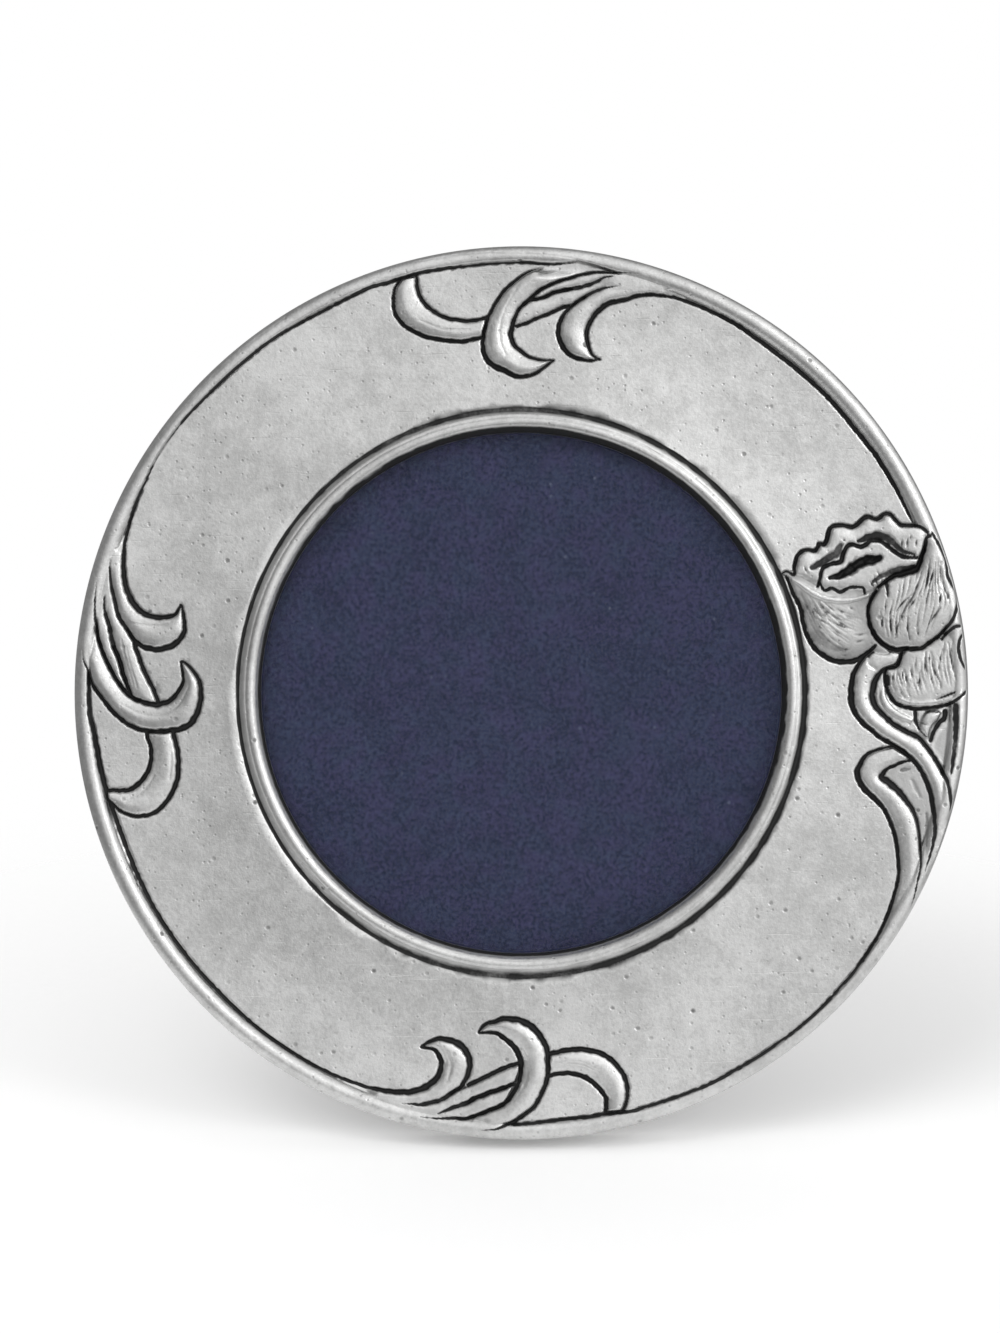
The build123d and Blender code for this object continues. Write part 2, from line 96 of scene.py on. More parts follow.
class Value:
    """One output of a node that takes part in Python expressions."""

    def __init__(self, tree: "ShaderTree", socket: bpy.types.NodeSocket) -> None:
        """Keeps the tree and the socket."""
        self.tree = tree
        self.socket = socket

    def other(self, name: str) -> "Value":
        """Another output of the same node."""
        return Value(self.tree, self.socket.node.outputs[name])

    def _math(self, operation: str, first: "Number", second: "Number") -> "Value":
        """Adds one Math node."""
        return self.tree.node("ShaderNodeMath", {"operation": operation}, {0: first, 1: second})

    def __add__(self, other: "Number") -> "Value":
        """Sum."""
        return self._math("ADD", self, other)

    def __radd__(self, other: "Number") -> "Value":
        """Sum with a number on the left."""
        return self._math("ADD", other, self)

    def __sub__(self, other: "Number") -> "Value":
        """Difference."""
        return self._math("SUBTRACT", self, other)

    def __rsub__(self, other: "Number") -> "Value":
        """Difference from a number on the left."""
        return self._math("SUBTRACT", other, self)

    def __mul__(self, other: "Number") -> "Value":
        """Product."""
        return self._math("MULTIPLY", self, other)

    def __rmul__(self, other: "Number") -> "Value":
        """Product with a number on the left."""
        return self._math("MULTIPLY", other, self)

    def larger(self, other: "Number") -> "Value":
        """The larger of two values."""
        return self._math("MAXIMUM", self, other)

    def step_up(self, low: float, high: float) -> "Value":
        """Rises smoothly from 0 at low to 1 at high."""
        settings = {"interpolation_type": "SMOOTHSTEP"}
        return self.tree.node("ShaderNodeMapRange", settings, {0: self, 1: low, 2: high, 3: 0.0, 4: 1.0})


Number = Union[float, Value]


class ShaderTree:
    """Shader nodes of a material or a world, added by one method."""

    def __init__(self, owner: Union[bpy.types.Material, bpy.types.World]) -> None:
        """Empties the owner's tree."""
        self.owner = owner
        self.owner.use_nodes = True
        self.tree = self.owner.node_tree
        self.tree.nodes.clear()

    @classmethod
    def of_material(cls, name: str) -> "ShaderTree":
        """The tree of a new material."""
        return cls(bpy.data.materials.new(name))

    def node(
        self,
        kind: str,
        settings: Optional[dict[str, object]] = None,
        inputs: Optional[dict[Union[int, str], object]] = None,
        output: Union[int, str] = 0,
    ) -> Value:
        """Adds a node.

        Args:
            kind: the node's type.
            settings: its properties; stops fills a colour ramp.
            inputs: values or links, by socket.
            output: the output to return.

        Returns:
            That output.
        """
        made = self.tree.nodes.new(kind)
        for name, value in (settings or {}).items():
            if name == "stops":
                self._fill_ramp(made.color_ramp, value)
            else:
                setattr(made, name, value)
        for key, value in (inputs or {}).items():
            if isinstance(value, Value):
                self.tree.links.new(value.socket, made.inputs[key])
            else:
                made.inputs[key].default_value = value
        return Value(self, made.outputs[output])

    @staticmethod
    def _fill_ramp(ramp: bpy.types.ColorRamp, stops: Sequence[tuple[float, Colour]]) -> None:
        """Gives a colour ramp its stops."""
        while len(ramp.elements) > 1:
            ramp.elements.remove(ramp.elements[-1])
        for index, (place, colour) in enumerate(stops):
            stop = ramp.elements[0] if index == 0 else ramp.elements.new(place)
            stop.position = place
            stop.color = (*colour, 1.0)

    def millimetres(self) -> Value:
        """Object coordinates in millimetres."""
        place = self.node("ShaderNodeTexCoord", output="Object")
        return self.node("ShaderNodeVectorMath", {"operation": "SCALE"}, {0: place, "Scale": 1 / MM})

    def stretched(self, place: Value, factors: Colour, turn: Colour = (0.0, 0.0, 0.0)) -> Value:
        """Coordinates turned and then scaled along each axis."""
        return self.node("ShaderNodeMapping", {}, {"Vector": place, "Rotation": turn, "Scale": factors})

    def noise(self, place: Value, scale: float, detail: float = 2.0, roughness: float = 0.5) -> Value:
        """Noise of about 0 to 1; scale is in features per millimetre."""
        inputs = {"Vector": place, "Scale": scale, "Detail": detail, "Roughness": roughness}
        return self.node("ShaderNodeTexNoise", {}, inputs)

    def spots(self, place: Value, scale: float, size: Point, chance: Point) -> Value:
        """Soft round spots on some of many scattered points.

        Args:
            place: coordinates in millimetres.
            scale: points per millimetre.
            size: distances from a point at which its spot starts and ends to fade, in shares of a cell.
            chance: random numbers of 0 to 1 between which a point comes to have a spot.

        Returns:
            A value of 1 in a spot and 0 outside it.
        """
        cells = self.node("ShaderNodeTexVoronoi", {}, {"Vector": place, "Scale": scale})
        lot = self.node("ShaderNodeSeparateColor", {}, {0: cells.other("Color")})
        return (1.0 - cells.step_up(*size)) * lot.step_up(*chance)

    def mixed(self, share: Number, first: Union[Colour, Value], second: Union[Colour, Value]) -> Value:
        """Blend of two colours."""
        ends = [end if isinstance(end, Value) else (*end, 1.0) for end in (first, second)]
        return self.node("ShaderNodeMix", {"data_type": "RGBA"}, {0: share, 6: ends[0], 7: ends[1]}, 2)

    def bump(self, height: Value, distance: float, strength: float = 1.0) -> Value:
        """Normal that a height of 0 to 1 gives; distance is in millimetres."""
        return self.node("ShaderNodeBump", {}, {"Height": height, "Distance": distance * MM, "Strength": strength})

    def surface(self, inputs: dict[Union[int, str], object]) -> bpy.types.Material:
        """Ends the tree in a Principled BSDF and returns the material."""
        shader = self.node("ShaderNodeBsdfPrincipled", {}, inputs)
        end = self.tree.nodes.new("ShaderNodeOutputMaterial")
        self.tree.links.new(shader.socket, end.inputs["Surface"])
        return self.owner


# Finishes


@dataclass(frozen=True)
class Pewter:
    """Cast and rubbed pewter with dark patina in its cuts, and with painted shade in the same dark colour."""

    bright: Colour = (0.69, 0.69, 0.685)
    dull: Colour = (0.50, 0.50, 0.495)
    # Dark colour of the patina in the cuts, also used for the painted shade.
    patina: Colour = (0.010, 0.010, 0.010)
    pit_soot: float = 0.75
    dust_soot: float = 0.28
    speck_soot: float = 0.3

    def material(self) -> bpy.types.Material:
        """Builds the material.

        Returns:
            The material, which reads the casting's attribute of patina and painted shade.
        """
        tree = ShaderTree.of_material("pewter")
        place = tree.millimetres()
        clouds = tree.noise(place, 0.07, 4.0, 0.6)
        mottle = tree.noise(place, 0.6, 4.0, 0.68)
        grain = tree.noise(place, 2.4, 4.0, 0.72)
        pit_zone = tree.noise(place, 0.16, 2.0).step_up(0.42, 0.62)
        pits = tree.spots(place, 0.62, (0.05, 0.24), (0.62, 0.85)) * pit_zone
        specks = tree.spots(place, 1.5, (0.06, 0.34), (0.7, 0.95))
        dust = grain.step_up(0.60, 0.72) * pit_zone
        drawn = tree.stretched(place, (0.12, 3.2, 3.2), (0.2, 0.5, 0.9))
        scratch = tree.noise(drawn, 1.0, 3.0, 0.6).step_up(0.63, 0.74)
        # This attribute holds the patina in the cuts and the painted shade on the relief; noise breaks both up here.
        cut = tree.node("ShaderNodeAttribute", {"attribute_name": "patina"}, {}, "Fac")
        worn = cut * (0.3 + tree.noise(place, 0.35) * 0.8 + grain * 0.4 + mottle * 0.35)
        loose = (pits * self.pit_soot).larger(dust * self.dust_soot).larger(specks * self.speck_soot)
        soot_and_shade = worn.step_up(0.12, 0.86).larger(loose)
        tone = tree.mixed((clouds * 0.46 + mottle * 0.32 + grain * 0.22).step_up(0.37, 0.63), self.dull, self.bright)
        tone = tree.mixed(scratch * 0.25, tone, self.bright)
        height = grain * 0.3 + mottle * 0.6 - pits * 1.6 - specks * 0.5 - scratch * 0.2
        return tree.surface(
            {
                "Base Color": tree.mixed(soot_and_shade, tone, self.patina),
                "Metallic": 1.0 - 0.75 * soot_and_shade,
                "Roughness": 0.25 + grain * 0.18 + soot_and_shade * 0.3,
                "Normal": tree.bump(height, 0.07),
            }
        )


@dataclass(frozen=True)
class NavyCard:
    """Matt navy card with a fine tooth, faint patches and a few pale fibres."""

    base: Colour = (0.061, 0.060, 0.145)
    cool: Colour = (0.049, 0.064, 0.132)
    dark: Colour = (0.020, 0.0245, 0.062)
    fleck: Colour = (0.17, 0.18, 0.28)

    def material(self) -> bpy.types.Material:
        """Builds the material."""
        tree = ShaderTree.of_material("navy_card")
        place = tree.millimetres()
        tooth = tree.noise(place, 2.4, 4.0, 0.75)
        clouds = tree.noise(place, 0.14, 3.0, 0.6)
        fleck = tree.spots(place, 0.55, (0.03, 0.16), (0.88, 0.96))
        patches = tree.noise(place, 0.3, 2.0, 0.6).step_up(0.38, 0.62)
        base = tree.mixed(patches, self.cool, self.base)
        tone = tree.mixed((tooth * 0.85 + clouds * 0.15).step_up(0.38, 0.62), self.dark, base)
        return tree.surface(
            {
                "Base Color": tree.mixed(fleck * 0.6, tone, self.fleck),
                "Roughness": 0.82 + tooth * 0.12,
                "Specular IOR Level": 0.25,
                "Normal": tree.bump(tooth, 0.05),
            }
        )


@dataclass(frozen=True)
class Glazing:
    """Clear picture glass that dims little and shines faintly."""

    tint: Colour = (0.02, 0.024, 0.022)
    cover_share: float = 0.10

    def material(self) -> bpy.types.Material:
        """Builds the material."""
        tree = ShaderTree.of_material("glazing")
        haze = tree.noise(tree.millimetres(), 0.09, 3.0)
        return tree.surface(
            {
                "Base Color": (*self.tint, 1.0),
                "Roughness": 0.03 + haze * 0.03,
                "IOR": 1.5,
                "Alpha": self.cover_share,
            }
        )


@dataclass(frozen=True)
class Flock:
    """Short-pile flocked cloth."""

    deep: Colour = (0.010, 0.010, 0.011)
    pile: Colour = (0.034, 0.033, 0.035)

    def material(self) -> bpy.types.Material:
        """Builds the material."""
        tree = ShaderTree.of_material("flock")
        place = tree.millimetres()
        pile = tree.noise(place, 5.0, 3.0, 0.8)
        nap = tree.noise(tree.stretched(place, (0.5, 1.6, 0.5), (0.4, 0.3, 0.2)), 0.25, 4.0, 0.65)
        tone = tree.mixed((pile * 0.6 + nap * 0.4).step_up(0.34, 0.66), self.deep, self.pile)
        return tree.surface(
            {
                "Base Color": tone,
                "Roughness": 0.9 + pile * 0.1,
                "Sheen Weight": 0.35,
                "Sheen Roughness": 0.4,
                "Specular IOR Level": 0.2,
                "Normal": tree.bump(pile * 0.8 + nap * 0.2, 0.12),
            }
        )


@dataclass(frozen=True)
class NickelSteel:
    """Rolled steel with thin nickel plate: fine lines, light wear and dull spots."""

    plate: Colour = (0.60, 0.595, 0.57)
    worn: Colour = (0.42, 0.41, 0.39)

    def material(self) -> bpy.types.Material:
        """Builds the material."""
        tree = ShaderTree.of_material("nickel_steel")
        place = tree.millimetres()
        lines = tree.noise(tree.stretched(place, (0.35, 4.0, 4.0), (0.3, 0.0, 0.0)), 1.2, 3.0, 0.7)
        spots = tree.noise(place, 0.9, 3.0, 0.6)
        tone = tree.mixed((spots * 0.6 + lines * 0.4).step_up(0.4, 0.66), self.plate, self.worn)
        return tree.surface(
            {
                "Base Color": tone,
                "Metallic": 1.0,
                "Roughness": 0.24 + lines * 0.18 + spots * 0.08,
                "Normal": tree.bump(lines, 0.02),
            }
        )


@dataclass(frozen=True)
class PressedBoard:
    """Pressed fibre board: brown hardboard, or grey pulp board with colours of its own."""

    name: str
    light: Colour = (0.24, 0.14, 0.075)
    dark: Colour = (0.13, 0.07, 0.035)
    fibre_scale: float = 1.7

    def material(self) -> bpy.types.Material:
        """Builds the material."""
        tree = ShaderTree.of_material(self.name)
        place = tree.millimetres()
        fibres = tree.noise(tree.stretched(place, (1.0, 2.4, 1.0), (0.5, 0.9, 0.3)), self.fibre_scale, 5.0, 0.75)
        clouds = tree.noise(place, 0.2, 2.0)
        tone = tree.mixed((fibres * 0.75 + clouds * 0.25).step_up(0.36, 0.64), self.dark, self.light)
        return tree.surface(
            {
                "Base Color": tone,
                "Roughness": 0.75 + fibres * 0.15,
                "Normal": tree.bump(fibres, 0.06),
            }
        )


@dataclass(frozen=True)
class PaperSweep:
    """White paper under and behind the frame; it keeps the shadow and fades into the white surround."""

    shade: Colour = (0.95, 0.95, 0.95)
    fade: Point = (0.055, 0.15)
    glow: float = 0.13

    def material(self) -> bpy.types.Material:
        """Builds the material."""
        tree = ShaderTree.of_material("paper_sweep")
        place = tree.node("ShaderNodeTexCoord", output="Object")
        grain = tree.noise(tree.millimetres(), 0.8, 3.0)
        distance = tree.node("ShaderNodeVectorMath", {"operation": "LENGTH"}, {0: place}, "Value")
        return tree.surface(
            {
                "Base Color": tree.mixed(grain.step_up(0.3, 0.7), self.shade, tuple(0.99 * c for c in self.shade)),
                "Roughness": 0.9,
                "Specular IOR Level": 0.1,
                "Emission Color": (1.0, 1.0, 1.0, 1.0),
                "Emission Strength": self.glow,
                "Alpha": 1.0 - distance.step_up(*self.fade),
            }
        )


# The face's own axes


@dataclass(frozen=True)
class FaceFrame:
    """Axes of the leaning face: right, up the face and out of it, from the centre of its back plane."""

    centre: np.ndarray
    lean: float = LEAN

    def world(self, right: np.ndarray, up: np.ndarray, out: np.ndarray) -> np.ndarray:
        """Points of the room.

        Args:
            right: millimetres to the right of the centre.
            up: millimetres up the face.
            out: millimetres in front of the back plane.

        Returns:
            Coordinates in metres, in the last axis.
        """
        sine, cosine = math.sin(self.lean), math.cos(self.lean)
        right, up, out = np.broadcast_arrays(right, up, out)
        local = np.stack([right, up * sine - out * cosine, up * cosine + out * sine], axis=-1)
        return self.centre + local * MM

    def point(self, right: float, up: float, out: float) -> Vector:
        """One point of the room, in metres."""
        return Vector(self.world(np.array(right), np.array(up), np.array(out)))


def smooth_step(value: np.ndarray) -> np.ndarray:
    """Rises smoothly from 0 at 0 to 1 at 1."""
    held = np.clip(value, 0.0, 1.0)
    return held * held * (3.0 - 2.0 * held)


def flowing_line(points: Sequence[Sequence[float]], closed: bool = False, steps: int = 6) -> np.ndarray:
    """Catmull-Rom curve through points.

    Args:
        points: rows of any number of values.
        closed: whether the curve returns to its start.
        steps: runs between two points.

    Returns:
        The curve's points, one to a row.
    """
    given = np.array(points, float)
    if closed:
        padded = np.vstack([given[-1], given, given[:2]])
    else:
        padded = np.vstack([2 * given[0] - given[1], given, 2 * given[-1] - given[-2]])
    share = np.linspace(0.0, 1.0, steps, endpoint=False)[:, None]
    runs = []
    for before, start, end, after in zip(padded, padded[1:], padded[2:], padded[3:]):
        runs.append(
            0.5
            * (
                2 * start
                + (end - before) * share
                + (2 * before - 5 * start + 4 * end - after) * share**2
                + (3 * start - before - 3 * end + after) * share**3
            )
        )
    curve = np.vstack(runs)
    return curve if closed else np.vstack([curve, given[-1]])


# Relief on the face


@dataclass(frozen=True)
class Band:
    """Radii and heights of the casting's face, in millimetres; heights are above the back plane."""

    inner: float = 34.9
    outer: float = 52.3
    crest: float = 53.3
    edge: float = 54.47
    crown_height: float = 7.11
    crown_fall: float = 1.15
    ground_inner: float = 6.5
    ground_outer: float = 6.1
    dish: float = 0.25

    @property
    def width(self) -> float:
        """Width of the ground."""
        return self.outer - self.inner

    def spot(self, angle: float, share: float) -> Point:
        """Face point at an angle in degrees and a share of the ground's width."""
        radius = self.inner + share * self.width
        turn = math.radians(angle)
        return radius * math.cos(turn), radius * math.sin(turn)

    def ground(self, radius: np.ndarray) -> np.ndarray:
        """Height of the bare ground, level beyond the rim line."""
        share = np.clip((radius - self.inner) / self.width, 0.0, 1.0)
        level = self.ground_inner + (self.ground_outer - self.ground_inner) * share
        return level - 4 * self.dish * share * (1 - share)

    def crown(self, radius: np.ndarray) -> np.ndarray:
        """Height of the rim's round back."""
        away = np.clip(np.abs(radius - self.crest) / (self.edge - self.crest), 0.0, 1.0)
        return self.crown_height - self.crown_fall * (1.0 - np.sqrt(1.0 - away**2))


@dataclass(frozen=True)
class Line:
    """Dark or chased line: its rows of place, its widths evenly along it, its depth and how much it darkens the face:
    patina in its groove, and painted shade where it is a shade line.
    """

    rows: tuple[Point, ...]
    widths: tuple[float, ...] = (0.3, 0.62, 0.72, 0.66, 0.3)
    depth: float = 0.3
    soot_and_shade: float = 1.0
    to_ground: bool = True


def chased(rows: tuple[Point, ...], widths: tuple[float, ...], depth: float, soot_and_shade: float) -> Line:
    """Line that follows the form under it and doesn't go down to the ground."""
    return Line(rows, widths, depth, soot_and_shade, to_ground=False)


@dataclass(frozen=True)
class Leaf:
    """Raised frond, stem or strip between two edges, which both run from its root to its tip."""

    one: tuple[Point, ...]
    other: tuple[Point, ...]
    rise: float = 0.9
    ridge: float = -0.25
    edge: float = 0.4
    root: float = 1.6


@dataclass(frozen=True)
class Petal:
    """Raised petal: its outline, how it swells, and its tint, which is painted shade."""

    rows: tuple[Point, ...]
    rise: float
    edge_rise: float
    swell: float
    # Painted shade: darkness near the outline, and less of it over the rest of the petal.
    tint: float = 0.0


@dataclass(frozen=True)
class Fan:
    """Fine broken lines between two guides: how many, and how much patina they hold."""

    first: tuple[Point, ...]
    last: tuple[Point, ...]
    count: int
    soot_and_shade: float = 0.78


@dataclass(frozen=True)
class Plant:
    """Group of fronds growing out of the rim: its dark lines as rows of angle from its axis and share of the band.

    Each list runs from the root to the tip.
    """

    axis: float
    size: float
    short_outer: tuple[Point, ...]
    short_inner: tuple[Point, ...]
    stem_low: tuple[Point, ...]
    stem_high: tuple[Point, ...]
    big_inner: tuple[Point, ...]
    big_outer: tuple[Point, ...]
    under_inner: tuple[Point, ...]
    under_outer: tuple[Point, ...]
    creases: tuple[tuple[Point, ...], ...] = ()
    # Shades: wide faint bands of painted shade where facets of the fronds lie in shade.
    shades: tuple[tuple[Point, ...], ...] = ()
    weight: float = 1.05

    def on_face(self, band: Band, rows: Sequence[Point]) -> tuple[Point, ...]:
        """Rows of angle and share as face points in millimetres."""
        return tuple(band.spot(self.axis + angle * self.size, 1 - (1 - share) * self.size) for angle, share in rows)


class Relief:
    """Height of the face and its patina with painted shade, on a polar grid, laid on form by form from the lowest up.
    """

    WALL = 0.3
    HOLLOW_SLOPE = 0.5
    TIP_FADE = 0.25
    MARGIN = 0.6
    RIM_CLIMB = 0.32
    FOOT_INSIDE_LINE = 0.12
    OVER_RIM = (51.4, 1.2)
    SHALLOW_ON_RIM = (51.8, 0.8)
    STEEPEST_GROOVE = 1.6
    LINES_END = (54.0, 0.3)
    FULL_DARKNESS_HALF_WIDTH = 0.16
    GUIDE_POINTS = 13

    def __init__(self, band: Band, radii: np.ndarray, columns: int) -> None:
        """Starts with the bare ground and the rim.

        Args:
            band: the face's sizes.
            radii: radius of each row.
            columns: columns round the face.
        """
        self.band = band
        self.radii = radii
        self.columns = columns
        angles = np.arange(columns) * (2 * math.pi / columns)
        self.radius = np.repeat(radii[:, None], columns, axis=1)
        self.right = radii[:, None] * np.cos(angles)
        self.up = radii[:, None] * np.sin(angles)
        self.ground = band.ground(self.radius) + self._wander()
        crown = band.crown(self.radius)
        foot = self._rim_foot(np.degrees(angles))[None, :]
        climb = smooth_step((self.radius - foot) / self.RIM_CLIMB)
        self.height = self.ground + (np.maximum(crown, self.ground) - self.ground) * climb
        # Darkness of patina and of painted shade at each point.
        self.patina = np.zeros_like(self.height)

    def _wander(self) -> np.ndarray:
        """Slow unevenness of a hand-finished ground, in millimetres."""
        rise = np.zeros_like(self.right)
        for wave, (length, heading, phase) in enumerate(
            ((17.0, 0.3, 0.4), (13.0, 1.5, 2.0), (9.5, 2.6, 4.1), (7.1, 0.9, 5.2), (5.3, 2.1, 1.1), (4.2, 0.1, 3.3))
        ):
            along = self.right * math.cos(heading) + self.up * math.sin(heading)
            rise += 0.022 / (1 + 0.35 * wave) * np.sin(along * 2 * math.pi / length + phase)
        return rise

    def _rim_foot(self, angles: np.ndarray) -> np.ndarray:
        """Radius at which the rim starts to rise, by angle in degrees; it follows the rim line."""
        rows = [row for line, _ in RIM_LINES for row in line] + [(0, 0.995), (345, 1.0)]
        angle, share = zip(*rows)
        line = self.band.inner + np.interp(angles, angle, share, period=360) * self.band.width
        return line - self.FOOT_INSIDE_LINE

    def _beyond(self, spot: tuple, start: float, run: float) -> np.ndarray:
        """Rises from 0 at a radius to 1 after a run."""
        return smooth_step((self.radius[spot] - start) / run)

    def _near(self, points: np.ndarray, margin: float) -> tuple[np.ndarray, np.ndarray]:
        """Rows and columns of the grid within a margin of some face points, as open index arrays."""
        radius = np.hypot(points[:, 0], points[:, 1])
        angle = np.unwrap(np.arctan2(points[:, 1], points[:, 0]))
        rows = np.flatnonzero((self.radii > radius.min() - margin) & (self.radii < radius.max() + margin))
        spare = margin / max(radius.min(), 1.0)
        step = 2 * math.pi / self.columns
        columns = np.arange(math.floor((angle.min() - spare) / step), math.ceil((angle.max() + spare) / step) + 1)
        return np.ix_(rows, np.unique(columns % self.columns))

    @staticmethod
    def _away(right: np.ndarray, up: np.ndarray, line: np.ndarray) -> tuple[np.ndarray, np.ndarray]:
        """Distance to a line and its last value at the nearest place.

        Args:
            right: face coordinate of each point.
            up: face coordinate of each point.
            line: rows of place and one more value.

        Returns:
            The distance and the value.
        """
        away = np.full(right.shape, np.inf)
        value = np.zeros(right.shape)
        for start, end in zip(line, line[1:]):
            run = end[:2] - start[:2]
            share = ((right - start[0]) * run[0] + (up - start[1]) * run[1]) / max(run @ run, 1e-9)
            share = np.clip(share, 0.0, 1.0)
            here = np.hypot(right - start[0] - share * run[0], up - start[1] - share * run[1])
            value = np.where(here < away, start[2] + (end[2] - start[2]) * share, value)
            away = np.minimum(away, here)
        return away, value

    @staticmethod
    def _outline_gap(right: np.ndarray, up: np.ndarray, outline: np.ndarray) -> np.ndarray:
        """Distance to a closed outline, negative inside."""
        away = np.full(right.shape, np.inf)
        inside = np.zeros(right.shape, bool)
        for start, end in zip(outline, np.roll(outline, -1, axis=0)):
            run = end - start
            share = ((right - start[0]) * run[0] + (up - start[1]) * run[1]) / max(run @ run, 1e-9)
            share = np.clip(share, 0.0, 1.0)
            away = np.minimum(away, np.hypot(right - start[0] - share * run[0], up - start[1] - share * run[1]))
            if run[1] != 0:
                crosses = (start[1] > up) != (end[1] > up)
                inside ^= crosses & (right < start[0] + (up - start[1]) * run[0] / run[1])
        return np.where(inside, -away, away)

    def _lay(self, spot: tuple, wall: np.ndarray, form: np.ndarray) -> None:
        """Lays one form over what is there.

        Args:
            spot: index arrays of the grid's part.
            wall: how much of the form is there, from 0 outside it to 1.
            form: height of the form above the ground.
        """
        height = self.height[spot]
        raised = self.ground[spot] + form
        raised = raised + (np.maximum(raised, height) - raised) * self._beyond(spot, *self.OVER_RIM)
        self.height[spot] = height + (raised - height) * wall
        self.patina[spot] *= 1.0 - wall

    def add_leaf(self, leaf: Leaf) -> None:
        """Lays on a form whose section peaks softly between its two edges."""
        edges = [flowing_line([(*row, 0.0) for row in rows]) for rows in (leaf.one, leaf.other)]
        ends = [np.vstack([edges[0][end], edges[1][end]]) for end in (0, -1)]
        outline = np.vstack([edges[0][:, :2], edges[1][::-1, :2]])
        spot = self._near(outline, self.MARGIN)
        right, up = self.right[spot], self.up[spot]
        first, second = (self._away(right, up, edge)[0] for edge in edges)
        inside = self._outline_gap(right, up, outline) < 0
        root, tip = (self._away(right, up, end)[0] for end in ends)
        wall = smooth_step(np.minimum(first, second) / self.WALL) * smooth_step(root / leaf.root)
        wall = wall * smooth_step(tip / self.TIP_FADE) * inside
        across, ridge = (first - second) / np.maximum(first + second, 1e-6), leaf.ridge
        fall = np.where(across > ridge, (across - ridge) / (1 - ridge), (ridge - across) / (1 + ridge))
        section = 0.5 * (1.08 - np.sqrt(fall**2 + 0.0064)) + 0.5 * np.sqrt(np.clip(1.0 - fall**2, 0.0, 1.0))
        wide = np.clip((first + second) / 2.6, 0.15, 1.0)
        self._lay(spot, wall, leaf.edge + (leaf.rise - leaf.edge) * np.sqrt(wide) * section)

    def add_petal(self, petal: Petal) -> None:
        """Lays on a petal that swells from its edge."""
        outline = flowing_line(petal.rows, closed=True, steps=4)
        spot = self._near(outline, self.MARGIN)
        gap = self._outline_gap(self.right[spot], self.up[spot], outline)
        depth = np.clip(-gap / petal.swell, 0.0, 1.0)
        form = petal.edge_rise + (petal.rise - petal.edge_rise) * np.sqrt(1.0 - (1.0 - depth) ** 2)
        self._lay(spot, smooth_step(-gap / self.WALL), form)
        # Painted shade: the petal is darkened most just inside its outline, and less over the rest of it.
        if petal.tint:
            tint = petal.tint * smooth_step(-gap / 0.4) * (1.0 - 0.6 * smooth_step(-gap / petal.swell))
            self.patina[spot] = np.maximum(self.patina[spot], tint)

    def add_line(self, line: Line) -> None:
        """Sinks a line into the face, or raises one where its depth is negative."""
        points = flowing_line(line.rows)
        given = np.linspace(0.0, 1.0, len(line.widths))
        half = np.interp(np.linspace(0.0, 1.0, len(points)), given, line.widths) / 2
        path = np.column_stack([points, half])
        spot = self._near(points, max(line.widths))
        right, up = self.right[spot], self.up[spot]
        ragged = 0.05 * np.sin(right * 4.1 + 1.7 * np.sin(up * 2.9))
        ragged = ragged + 0.04 * np.sin(up * 5.3 + 2.1 * np.sin(right * 3.3))
        away, wide = self._away(right, up, path)
        wide = np.maximum(wide * (1.0 + ragged * 2.0), 0.03)
        bowl = smooth_step(np.clip(1.0 - away / wide, 0.0, 1.0) * 1.5)
        height = self.height[spot]
        level = (self.ground[spot] if line.to_ground else height) - line.depth
        kept = 1.0 - self._beyond(spot, *self.LINES_END)
        deepest = (self.STEEPEST_GROOVE - self._beyond(spot, *self.SHALLOW_ON_RIM)) * wide
        self.height[spot] += (np.maximum(level, height - deepest) - height) * bowl * kept
        if line.depth < 0:
            self.patina[spot] *= 1.0 - bowl * kept
        else:
            # Patina in the groove, and painted shade where the line is a shade line, with a faint halo round it.
            thin = np.clip(wide / self.FULL_DARKNESS_HALF_WIDTH, 0.4, 1.0)
            core = smooth_step(np.clip(1.0 - away / (wide * 1.08), 0.0, 1.0) * 1.9)
            halo = 0.3 * smooth_step(np.clip(1.25 - away / (wide * 1.3), 0.0, 1.0))
            soot_and_shade = line.soot_and_shade * np.maximum(core, halo) * thin * kept
            self.patina[spot] = np.maximum(self.patina[spot], soot_and_shade)

    def add_fan(self, fan: Fan) -> None:
        """Chases broken fine lines that turn gradually from one guide to another."""
        chance = random.Random(fan.count)
        share = np.linspace(0, 1, self.GUIDE_POINTS)
        guides = []
        for guide in (fan.first, fan.last):
            line = flowing_line(guide, steps=8)
            given = np.linspace(0, 1, len(line))
            guides.append(np.stack([np.interp(share, given, line[:, axis]) for axis in (0, 1)], axis=1))
        for index in range(fan.count):
            place = (index + 0.5 + chance.uniform(-0.25, 0.25)) / fan.count
            rows = guides[0] + (guides[1] - guides[0]) * place
            begin = chance.randint(0, 4)
            while begin < self.GUIDE_POINTS - 4:
                end = min(begin + chance.randint(4, 8), self.GUIDE_POINTS - 1)
                strength = fan.soot_and_shade * chance.uniform(0.6, 1.0)
                places = tuple(map(tuple, rows[begin : end + 1]))
                self.add_line(chased(places, (0.12, 0.29, 0.12), 0.06, strength))
                begin = end + 1

    def add_hollow(self, rows: Sequence[Point], depth: float, soot_and_shade: float) -> None:
        """Sinks an outlined patch of the face and lets patina stay in it."""
        outline = flowing_line(rows, closed=True, steps=4)
        spot = self._near(outline, self.WALL)
        gap = self._outline_gap(self.right[spot], self.up[spot], outline)
        inside = smooth_step(-gap / self.HOLLOW_SLOPE)
        self.height[spot] -= depth * inside
        self.patina[spot] = np.maximum(self.patina[spot], soot_and_shade * inside)

    def add_plant(self, plant: Plant) -> None:
        """Lays on a group of fronds from the lowest up, each with the dark lines round it, then the plant's painted
        shade and its creases.
        """

